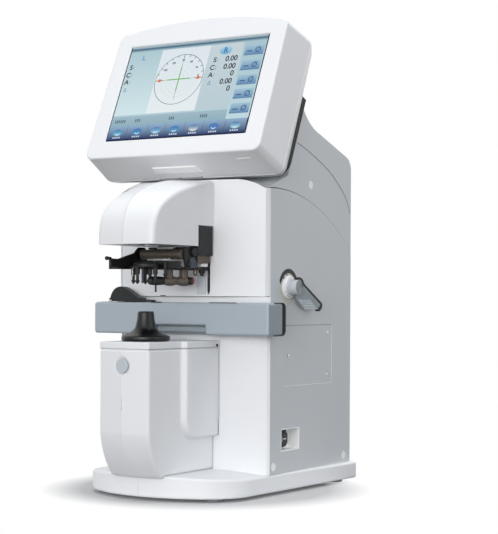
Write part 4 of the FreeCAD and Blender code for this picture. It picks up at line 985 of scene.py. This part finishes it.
# %% Lens holder: lower tube
along = Vector((18, 41.5, 0)).normalized()
first = Vector((1, -94, 191.5))
swell = [
    (0, 2.4), (1.2, 3.6), (8, 4.1), (13, 3.7), (15, 3.4), (17.5, 4.0), (20, 4.5), (24, 4.5), (26.5, 3.9),
    (28.5, 3.3), (31.5, 3.9), (34, 4.5), (38.5, 4.5), (41, 3.9), (43, 3.4),
]  # fmt: skip
turned(first, along, swell[:5], 28)
turned(first, along, swell[4:10], 28, 1)
turned(first, along, swell[9:13], 28, 1)
turned(first, along, swell[12:], 28)
turned(first + along * 42.8, along, [(0, 3.4), (2.0, 3.5), (3.0, 2.6)], 28, 2)
rod((4.6, -88, 181.5), (4.6, -88, 189), 0.8)
done("holder_tube", "holder", "holder_frame", ["black_plastic", "dark_metal", "red_tip"], 0, 40)

# %% Lens holder: press pins
for angle in (10, 130, 250):
    x, y = 9 * math.cos(math.radians(angle)), -96.2 + 9 * math.sin(math.radians(angle))
    sleeve = [
        (0, 0.35), (1.6, 1.5), (2.3, 1.9), (3.2, 1.9), (3.6, 1.3), (8.4, 1.3), (8.8, 2.1), (14, 2.1),
        (16, 1.8), (18, 1.8)
    ]
    turned((x, y, 188.3), UP, sleeve, 20)
turned((1.4, -92.2, 188.6), UP, sleeve[:6] + [(7.6, 1.25), (8, 2.0), (13.2, 2.0), (13.6, 1.6)], 20)
done("press_pins_turned", "holder", "press_pins", ["black_plastic"], 0, 40, 2, ["press_pins"])

# %% Lens holder: knurled screw and brass eye
turned((22.6, -42.7, 196.2), UP, [(0, 1.3), (0.3, 1.7), (2.4, 1.7), (2.4, 2.5), (7.8, 2.5), (8.2, 2.1)], 28)
done("clamp_screw", "holder", "holder_frame", ["black_plastic"], 0, 40)
knurl = {"Count": 24, "Radius": 2.5, "Rib": (0.4, 0.32, 4.8)}
grow(
    "clamp_screw_knurl", ring_tree, knurl, "holder", "holder_frame", "black_plastic",
    setting((22.6, -42.7, 201.3), UP)
)
eye = [(24.5, y, z) for y, z in arc((-55.4, 199.2), 2.5, 0, 345, 23)]
tube(eye, 0.75, closed=True)
tube([(24.5, -53, 200.2), (24.5, -50, 203), (24.5, -46, 204.8)], 0.5)
done("holder_eye", "holder", "brass", ["dark_metal"])

# %% [markdown]
# ## Marker
# The marker presses its pens down on the lens. Its side plates carry a brown roller and a cross bar,
# and the pens hang below the bar. One of the light springs belongs to it, and two stay on the holder.

# %% Marker: plates and cross bar
left_plate = [
    (-119.8, 201.2), (-119.8, 210.6), (-108, 210.4), (-84, 216.3), (-80, 219.5), (-77.6, 221.4),
    (-70, 221.5), (-66, 218), (-66, 209.5), (-72, 202),
]  # fmt: skip
right_plate = [(-74, 202), (-77, 212), (-77, 221.4), (-62, 221.4), (-60, 216), (-62, 204), (-66, 202)]
prism(left_plate, "X", -23, -20.5)
prism(right_plate, "X", 25.6, 28)
block((-22, -86, 202.2), (27, -81, 208.8))
block((-16, -71, 219.6), (20, -66, 221.4))
block((-22, -119.8, 201.4), (-14, -112, 203.4))
turned((-21.8, -125.6, 210.6), BACK, [(0, 0.7), (0.5, 1.6), (1.6, 1.9), (2.6, 1.4), (7, 1.3)], 20)
turned((27.6, -64.5, 217), ACROSS, [(0, 4.1), (2.4, 4.1), (2.9, 3.6)], 32)
turned((27.6, -71, 206.2), ACROSS, [(0, 2.6), (1.4, 2.6), (1.8, 2.2)], 28)
prism([(-70, 203), (-70, 211.5), (-64, 212.5), (-60.5, 208), (-61.5, 203)], "X", 27.8, 29.2, 1)
done(
    "marker_frame_plates", "marker", "marker_frame", ["black_plastic", "blue_black"], 0.35, 30, 2,
    ["marker_frame"]
)

# %% Marker: roller
barrel = [(0, 3.9), (0.4, 4.7), (2.4, 4.7), (2.4, 4.3), (39, 4.3), (39, 4.7), (43.8, 4.7), (44.2, 3.9)]
turned((-18.6, -76.5, 214.9), ACROSS, barrel, 40)
done("marker_roller_turned", "marker", "marker_roller", ["dark_metal"], 0, 30, 2, ["marker_roller"])

# %% Marker: springs
for name, place, turns, length in (
    ("long", (2, -81.6, 220.4), 15, 17), ("short", (-5, -87, 209.8), 6, 7),
    ("low", (3.5, -87, 209.8), 15, 15)
):
    coil = {"Turns": turns, "Radius": 1.15, "Length": length, "Wire": 0.38}
    body = "marker" if name == "long" else "holder"
    grow(f"marker_spring_{name}", coil_tree, coil, body, "steel", "steel", setting(place, ACROSS))

# %% Marker: pens
pen = [
    (0, 0.35), (1.6, 1.5), (2.3, 1.9), (3.2, 1.9), (3.6, 1.25), (7.6, 1.25), (8, 2.0), (13.8, 2.0),
    (14, 1.6)
]
turned((-16.7, -92.2, 188.6), UP, pen, 20)
turned((-6.2, -92.2, 189.4), UP, [(0, 1.2), (0.3, 1.4), (13.8, 1.4), (14, 1.2)], 20, 1)
turned((13.4, -86, 194), UP, pen, 20)
block((-19, -95, 202.6), (-1.4, -85.5, 204.6))
rod((-16.15, -94.0, 195.6), (-16.15, -94.0, 203), 0.3, 8, 2)
done(
    "marker_pens_turned", "marker", "marker_pens", ["black_plastic", "blue_black", "steel"], 0, 40, 2,
    ["marker_pens"]
)

# %% [markdown]
# ## Screen
# The screen unit leans back, so its details are laid out flat, in millimetres across and up the
# display, and then placed by one function. Everything that glows is a thin layer over the display
# glass: coloured faces that carry their colour in an attribute, and one material that reads it.

# %% Placing points on the leaning screen
LEAN = math.radians(23.7)
FOOT = (-64.1, 304.5)


def on_screen(across, up, behind):
    """A point given across and up the screen and behind its front plane, in the machine's frame."""
    return (
        across,
        FOOT[0] + up * math.sin(LEAN) + behind * math.cos(LEAN),
        FOOT[1] + up * math.cos(LEAN) - behind * math.sin(LEAN),
    )


# %% The display's own material
screen_glow = bpy.data.materials.new("screen_glow")
screen_glow.use_nodes = True
tree = screen_glow.node_tree
shader = tree.nodes["Principled BSDF"]
ink = node(tree, "ShaderNodeAttribute", attribute_name="ink")
sheen = node(
    tree, "ShaderNodeGroup", {"Roughness": 0.22, "Roughness Drift": 0.05, "Grain Depth": 0.0},
    node_tree=grain
)
wires(
    tree,
    (sheen, "Roughness", shader, "Roughness"),
    (ink, "Color", shader, "Emission Color"),
)
shader.inputs["Base Color"].default_value = (0.01, 0.012, 0.016, 1)
shader.inputs["Emission Strength"].default_value = 0.9
shader.inputs["Specular IOR Level"].default_value = 0.15
finish["screen_glow"] = screen_glow

# %% Drawing the display
WIDE, TALL = 153.0, 101.0
LOWER_RIM = 18  # from the bezel's foot up to the display
LAYER_DEPTH, LAYER_STEP = 0.95, 0.003  # each shape lies a little in front of the one before
picture = bmesh.new()
ink_layer = picture.loops.layers.float_color.new("ink")
level = 0


def paint_shape(points, low, high=None, raise_it=True):
    """A flat shape, from one colour at its foot to another at its top, over all earlier shapes."""
    global level
    level += raise_it
    low, high = linear(*low), linear(*(high or low))
    foot, top = min(v for _, v in points), max(v for _, v in points)
    behind = LAYER_DEPTH - LAYER_STEP * level
    spots = [on_screen(u - WIDE / 2, v + LOWER_RIM, behind) for u, v in points]
    face = picture.faces.new([picture.verts.new(Vector(spot) * MM) for spot in spots])
    for loop, (_, v) in zip(face.loops, points):
        share = (v - foot) / (top - foot)
        loop[ink_layer] = [a + (b - a) * share for a, b in zip(low, high)]


def patch(u0, v0, u1, v1, low, high=None):
    paint_shape([(u0, v0), (u1, v0), (u1, v1), (u0, v1)], low, high)


def dash(start, end, width, colour):
    """A straight line of a given width."""
    (a, b), (c, d) = start, end
    length = math.hypot(c - a, d - b)
    x, y = -(d - b) / length * width / 2, (c - a) / length * width / 2
    paint_shape([(a - x, b - y), (c - x, d - y), (c + x, d + y), (a + x, b + y)], colour)


def ring(centre, radius, width, colour, first=0, last=360, steps=60):
    """A circle's outline, as one band of short faces at the same level."""
    outside = arc(centre, radius, first, last, steps)
    inside = arc(centre, radius - width, first, last, steps)
    for here in range(steps):
        band = [outside[here], outside[here + 1], inside[here + 1], inside[here]]
        paint_shape(band, colour, None, here == 0)


def oval(centre, wide, tall, steps):
    """Points on an upright oval, from half its width and half its height."""
    angles = [2 * math.pi * step / steps for step in range(steps)]
    return [(centre[0] + wide * math.cos(a), centre[1] + tall * math.sin(a)) for a in angles]


def number(text, right_edge, foot, height, colour):
    """Plain figures, set flush to the right."""
    curve = bpy.data.curves.new("figures", "FONT")
    curve.body = text
    curve.size = height * 1.4
    curve.align_x = "RIGHT"
    curve.offset = 0.16
    item = bpy.data.objects.new("figures", curve)
    scene.collection.objects.link(item)
    mesh = bpy.data.meshes.new_from_object(item.evaluated_get(bpy.context.evaluated_depsgraph_get()))
    bpy.data.objects.remove(item)
    for face in mesh.polygons:
        spots = [mesh.vertices[i].co for i in face.vertices]
        paint_shape([(right_edge + spot.x, foot + spot.y) for spot in spots], colour, None, face.index == 0)


NAVY, TEXT = (18, 22, 52), (16, 20, 30)
patch(0, 0, WIDE, TALL, NAVY)
patch(1.3, 1.3, WIDE - 1.3, TALL - 0.2, (176, 208, 218), (206, 222, 228))
patch(1.0, 27, 37.5, 95, (214, 236, 240), (178, 206, 214))
patch(37.5, 27, 91.8, 95, (236, 244, 246), (226, 236, 242))
patch(91.8, 27, 128, 95, (190, 210, 218), (202, 216, 222))
patch(128, 15, 152, 95, (196, 222, 230), (170, 200, 210))
patch(1.0, 95, 152, 98, (176, 204, 214), (40, 90, 116))
patch(1.0, 98, 152, 100.8, (40, 90, 116), (190, 214, 222))

# %% The dial on the display
DIAL = (64.8, 61.5)
u, v = DIAL
for radius in (5.5, 10, 14.5, 19):
    ring(DIAL, radius, 0.3, (206, 222, 220))
ring(DIAL, 26.6, 0.55, (92, 108, 118), steps=90)
for degrees in range(0, 181, 15):
    angle = math.radians(degrees)
    reach = 22.2 if degrees == 90 else 24
    ends = [(u + r * math.cos(angle), v + r * math.sin(angle)) for r in (reach, 26.4)]
    dash(ends[0], ends[1], 0.6, (60, 72, 82))
for text, degrees in (("0", 8), ("30", 33), ("60", 62), ("90", 90), ("120", 118), ("150", 147)):
    angle = math.radians(degrees)
    number(text, u + 20.4 * math.cos(angle) + 1.2, v + 20.4 * math.sin(angle) - 1, 2, (96, 108, 120))
dash((u, v - 21.5), (u, v + 22), 0.5, (150, 160, 158))
dash((u - 26.5, v), (u + 26.5, v), 0.5, (170, 178, 176))
dash((u, v - 12.6), (u, v + 12.6), 1.0, (92, 178, 62))
dash((u - 12.6, v), (u + 12.6, v), 1.0, (92, 178, 62))
for side in (-21.4, 21.4):
    dash((u + side - 4, v), (u + side + 4, v), 0.8, (150, 110, 90))
    paint_shape(arc((u + side, v), 1.75, 0, 345, 23), (232, 112, 48))

# %% Figures and signs
for text, right_edge, foot in (
    ("0.00", 124.4, 76.4), ("0.00", 124.4, 68.2), ("0", 124.4, 60.6), ("0.00", 124.4, 52.6),
    ("0", 124.4, 44.8)
):
    number(text, right_edge, foot, 5.4, TEXT)
for column in (101.8, 7.4):
    for sign, foot in (("S", 76.4), ("C", 68.2), ("A", 60.6)):
        number(sign, column, foot, 5.1, TEXT)
        for dot in (0.6, 2.6):
            patch(column + 0.9, foot + dot, column + 1.6, foot + dot + 0.8, TEXT)
    blue = (92, 150, 196)
    peak = (column - 1.6, 56.6)
    for start, end in (
        ((column - 3.2, 52.8), peak), (peak, (column, 52.8)), ((column - 3.2, 52.8), (column, 52.8))
    ):
        dash(start, end, 0.6, blue)
paint_shape(oval((109.6, 88), 6.6, 4.3, 32), (96, 172, 210), (176, 216, 236))
number("R", 111.9, 85.7, 5.4, (44, 104, 166))
number("L", 19.8, 85.7, 5.4, (84, 160, 220))

# %% Touch tiles
for foot, top in ((80.4, 91), (64.8, 75.4), (49.8, 60), (35.6, 45.6), (20.6, 31)):
    patch(130.4, foot, 150.6, top, (88, 132, 176), (168, 202, 218))
    patch(130.4, foot, 150.6, foot + 0.5, (84, 118, 158))
    middle = (foot + top) / 2
    dash((133, middle - 1), (138.6, middle - 1), 1.2, (48, 92, 148))
    ring((144.4, middle), 2.9, 0.9, (40, 84, 142), steps=20)
    dash((141.6, middle - 2.6), (147.2, middle + 2.8), 0.9, (78, 124, 172))
patch(1.0, 15.2, 128, 25.2, (146, 178, 192), (162, 190, 202))
for spot, width in ((5, 12), (28, 7), (66, 6), (100, 8)):
    for bit in range(int(width / 2)):
        patch(spot + bit * 2.1, 18.6, spot + bit * 2.1 + 1.3, 21.8, (86, 112, 128))
edges = (1.0, 22.2, 45.2, 64.6, 86, 106.4, 129.4, 152)
BRIGHT = [
    (120, 196, 226), (74, 150, 200), (150, 206, 232), (84, 160, 208), (206, 214, 206), (90, 130, 196),
    (170, 220, 228),
]  # fmt: skip
for place, (left, rightmost) in enumerate(zip(edges, edges[1:])):
    patch(left, 1.0, rightmost, 15.2, (20, 44, 98), (146, 178, 208))
    dash((rightmost, 1.0), (rightmost, 15.2), 0.6, (60, 82, 122))
    centre = ((left + rightmost) / 2, 8.4)
    paint_shape(oval(centre, 5.4, 3.4, 24), BRIGHT[place], (60, 120, 180))
    ring(centre, 2.6, 0.8, (226, 240, 246), 200, 340, 10)
    for bit in range(4):
        patch(centre[0] - 4.4 + bit * 2.3, 2.6, centre[0] - 2.9 + bit * 2.3, 4.0, (214, 226, 238))
mesh = bpy.data.meshes.new("screen_image")
picture.to_mesh(mesh)
picture.free()
image = bpy.data.objects.new("screen_image", mesh)
scene.collection.objects.link(image)
mesh.materials.append(screen_glow)
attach(image, "screen")
front = Vector((0, -math.cos(LEAN), math.sin(LEAN)))
turned_away = [face for face in mesh.polygons if face.normal.dot(front) < 0]
print("display shapes", len(mesh.polygons), "turned away", len(turned_away), "levels", level)

# %% [markdown]
# ## Round the screen
# A rubber frame fills the gap between the screen's back and the hood. It is black, but the middle of its
# lower run has the white of the covers. The bezel's underside has a shallow rest for a hand, a fine seam
# and a small bright lip.

# %% Gasket sleeve
half_width, foot, top, bend = 82.5, 13, 92, 13


def rounded(grow_by):
    left, low, high = half_width + grow_by, foot - grow_by, top + grow_by
    radius = bend + grow_by
    centre = (half_width - bend, foot + bend)
    corner = arc(centre, radius, 270, 360, 8)
    return [(-x, y) for x, y in reversed(corner)] + corner + [(left, high), (-left, high)]


rings = []
for behind, grow_by in ((61.5, 0), (72.4, 0), (72.4, -2.4), (61.5, -2.4)):
    rings.append([on_screen(x, y, behind) for x, y in rounded(grow_by)])
skin(rings, closed=True)
sleeve = done(
    "gasket_sleeve", body_of["screen_gasket"], "screen_gasket", ["black_rubber", "white_cover"],
    0, 40, 2, ["screen_gasket"]
)
for face in sleeve.data.polygons:
    face.material_index = int(abs(face.center.x) < 62 * MM and face.center.z < 0.3)
print("gasket rides", body_of["screen_gasket"])

# %% Parting line of the screen: a painted highlight


def screen_edge(grow_by, bend=8):
    """The screen's outline, across and up, with a crowned top."""
    low, high = -grow_by, 134.3 + grow_by
    left, top_left = 94.8 + grow_by, 92.9 + grow_by
    foot_bend = arc((left - bend, low + bend), bend, 270, 360, 8)
    head_bend = arc((top_left - bend, high - bend), bend, 4, 84, 8)
    half = foot_bend + head_bend
    crown = [(x, high + 9 * (1 - (x / (top_left - bend)) ** 2)) for x in (66, 44, 22, 0, -22, -44, -66)]
    return half + crown + [(-x, y) for x, y in reversed(half)]


# The white bead round the screen's parting line is a painted highlight: the light that the edge catches.
tube([on_screen(x, up, 40.1) for x, up in screen_edge(2.4)], 0.55, 8, closed=True)
done("screen_parting_highlight", "screen", "screen_bezel", ["cap_white"], 0, 60)

# %% Under the bezel


def under(x, behind, lift=0.0):
    """A point on the bezel's sloping underside."""
    return on_screen(x, -0.075 * behind - lift, behind)


rest = []
for lift, inset in ((-0.4, -0.5), (0.9, 0.7)):
    low, high = 19.5 + inset, 30 - inset
    corners = [(-30 + inset, low), (17 - inset, low), (20 - inset, high), (-33 + inset, high)]
    rest.append([under(x, behind, lift) for x, behind in corners])
skin(rest)
done("bezel_hand_rest", "screen", "screen_bezel", ["cap_white"], 0.3)
slot_lip = [(66, 11.6), (80, 11.6), (80, 13.2), (66, 13.2)]
skin([[under(x, behind, lift) for x, behind in slot_lip] for lift in (-0.3, 0.35)])
done("bezel_slot_lip", "screen", "screen_bezel", ["cap_white"], 0.15)
tube([under(-34, 39, 0.05), under(-10, 39, 0.05), under(14, 39, 0.05)], 0.28, 8)
for x in (-10, 14):
    down = (0, -math.sin(LEAN), -math.cos(LEAN))
    turned(under(x, 38.6, -0.3), down, [(0, 0.8), (0.7, 0.8), (0.9, 0.5)], 16)
done("bezel_latch_seam", "screen", "pd_slider", ["seam_dark"])

# %% [markdown]
# ## Seams and grooves
# Mould seams are hairlines: a fold line down the head, the lower housing and the base, and a curved
# groove on each side of the hood. Each is a thin round bead that sits half in the surface, so that it
# catches light on one side and shades on the other, as a real groove does.

# %% Grooves and fold seams
arc_two = [
    (23.3, 319.3), (42, 313.8), (61.3, 306.9), (77, 300.3), (90.9, 293.3), (111, 279.1), (121.8, 266.4),
    (124.6, 259)
]
for side, name in ((1, "right"), (-1, "left")):
    tube(smooth_path([(side * 82.3, y, z) for y, z in arc_two]), 0.42, 8)
    done("hood_groove_" + name, "root", "hood_cover", ["seam_grey"], 0, 60)
tube(fold_path[1:-6], 0.28, 8)
done("head_fold_seam", "root", "head_cover", ["seam_light"], 0, 60)
chin_fold = [
    (-130.8, 131.6), (-130.8, 80), (-130.8, 60), (-129.9, 54.4), (-128.3, 45.7), (-123.9, 36.8),
    (-118.1, 27.6), (-114.2, 22.6)
]
tube(smooth_path([(0, y, z) for y, z in chin_fold]), 0.22, 8)
done("housing_fold_seam", "root", "nose_housing", ["white_cover"], 0, 60)
rod((0, -106.35, 4.5), (0, -106.35, 17), 0.3, 8)
done("base_fold_seam", "root", "base_plate", ["seam_light"])

# %% Column: guide slot, light strip and ledge mark
block((24.7, -35.75, 180), (25.6, -35.2, 214))
block((-27.5, -36.2, 178.3), (-22.5, -35, 178.9))
done("column_slot", "root", "pd_slider", ["black_plastic"])
block((13.4, -36.4, 180), (22.4, -35.2, 198))
done("column_light_strip", "root", "upper_front_cover", ["strip_white"], 0.4)
block((31.8, -33.4, 132.9), (32.9, -30.8, 135.4))
done("lid_notch", "root", "pd_slider", ["black_plastic"], 0.2)

# %% Strips where the housing meets the column
for side in (-1, 1):
    block((side * 31, -29.1, 66), (side * 32.9, -28.4, 138.2))
    block((side * 25.4, -29.1, 22.8), (side * 26.8, -28.4, 66))
done("housing_column_strips", "root", "nose_housing", ["seam_light"])

# %% Rounded corners of the column
for side in (-1, 1):
    corner = [(79.8, -27), (80.9, -25.2), (81.7, -23.6), (82.2, -22.4), (82.36, -21.5), (79.8, -21.5)]
    prism([(side * x, y) for x, y in corner], "Z", 178.3, 274.6)
done("column_corner_trims", "root", "upper_front_cover", ["white_cover"], 0.3, 40)

# %% Table end seals
for side in (-1, 1):
    outside = arc((-23.2, 167.6), 5.1, 90, 0, 6) + arc((-23.2, 148.4), 5.1, 0, -90, 6)
    inside = arc((-24.4, 148.6), 4.6, -90, 0, 6) + arc((-24.4, 167.4), 4.6, 0, 90, 6)
    outside = [(-36, 172.7)] + outside + [(-36, 143.2)]
    inside = [(-36, 143.9)] + inside + [(-36, 172.1)]
    prism(outside + inside, "X", side * 93.4, side * 96.35)
    prism([(-22.6, 145), (-18.3, 145), (-18.3, 171), (-22.6, 171)], "X", side * 86, side * 95.2)
done("table_end_seals", "table", "table_seals", ["black_rubber"], 0.3)

# %% [markdown]
# ## Side details
# The mains switch sits in a white pocket: a black housing with stepped corners and a rocker that is
# marked with the usual plain bar and ring. The service cover's edges have thin white strips as painted
# highlights, and the cover has small screws.

# %% Switch
case = [
    (0.6, 56.6), (12.4, 56.6), (12.4, 55.6), (15.6, 55.2), (18, 53), (18, 45.2), (15.6, 42.8),
    (12.4, 42.4), (12.4, 41.4), (0.6, 41.4)
]
prism(case, "X", 72, 77.2)
done("switch_housing", "root", "switch_case", ["black_plastic"], 0.3)
rocker = [(3.2, 44.4), (14.6, 44.4), (14.6, 53.4), (3.2, 53.4)]
skin([[(x, y, z) for y, z in rocker] for x in (70, 77.6)])
skin([[(x, y, z) for y, z in rocker] for x in (77.3, 78.3)])
block((78.2, 8.6, 48.5), (78.5, 13, 49.6), 1)
ring_path = [(78.3, y, z) for y, z in arc((5.6, 49), 1.5, 0, 340, 17)]
tube(ring_path, 0.28, 6, 1, closed=True)
done("switch_rocker", "rocker", "power_rocker", ["black_satin", "icon_white"], 0.2, 30, 2, ["power_rocker"])

# %% Service cover edges: painted highlights
# Thin white strips along three edges of the service cover are painted highlights, where the edges catch
# light.
block((82.0, 90.2, 97.0), (82.4, 91.2, 152.4))
block((82.0, 3.8, 97.0), (82.4, 4.6, 151.6))
block((82.0, 3.8, 96.6), (82.4, 91.2, 97.4))
done("service_cover_edge_highlights", "root", "service_cover", ["cap_white"], 0.12)

# %% Geometry Nodes: small cross-head screws
screw_tree, start, out = new_tree(
    "small_screws", [("Head Radius", NUMBERS), ("Head Height", NUMBERS), ("Slot", PLACE)]
)
first_input = screw_tree.interface.new_socket(
    name="Places", in_out="INPUT", socket_type="NodeSocketGeometry"
)
screw_tree.interface.move(first_input, 0)
head = node(screw_tree, "GeometryNodeMeshCylinder", {"Vertices": 24})
cross = node(screw_tree, "GeometryNodeMeshCube")
quarter = node(screw_tree, "GeometryNodeTransform", {"Rotation": (0, 0, math.pi / 2)})
cutter = node(screw_tree, "GeometryNodeMeshBoolean", operation="DIFFERENCE")
stand = node(screw_tree, "GeometryNodeTransform", {"Rotation": (0, math.pi / 2, 0)})
put = node(screw_tree, "GeometryNodeInstanceOnPoints")
wires(
    screw_tree,
    (start, "Head Radius", head, "Radius"),
    (start, "Head Height", head, "Depth"),
    (start, "Slot", cross, "Size"),
    (cross, 0, quarter, 0),
    (head, 0, cutter, "Mesh 1"),
    (cross, 0, cutter, "Mesh 2"),
    (quarter, 0, cutter, "Mesh 2"),
    (cutter, 0, stand, 0),
    (start, "Places", put, "Points"),
    (stand, 0, put, "Instance"),
)
end_tree(screw_tree, start, put, 0, out)

# %% Service cover screws
places = [(82.5, 81.7, 144.7), (82.5, 10.7, 124.4), (82.5, 81.6, 105.2)]
sizes = {"Head Radius": 1.5, "Head Height": 0.9, "Slot": (2.0, 0.5, 3.0)}
screws = grow(
    "service_screw_heads", screw_tree, sizes, "root", "service_cover_screws", "cap_white", points=places
)
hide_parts("service_cover_screws")

# %% [markdown]
# ## What stays plain
# The parts inside keep their CAD shape, and each gets the finish of its own material.

# %% Finishes of the plain inner nodes
for name, item in nodes.items():
    item.data.materials.clear()
    item.data.materials.append(finish.get(slot_of[name], finish["black_gloss"]))
print("nodes finished", len(nodes))

# %% Size of the dressed model
low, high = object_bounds()
print("bounds", low, high)
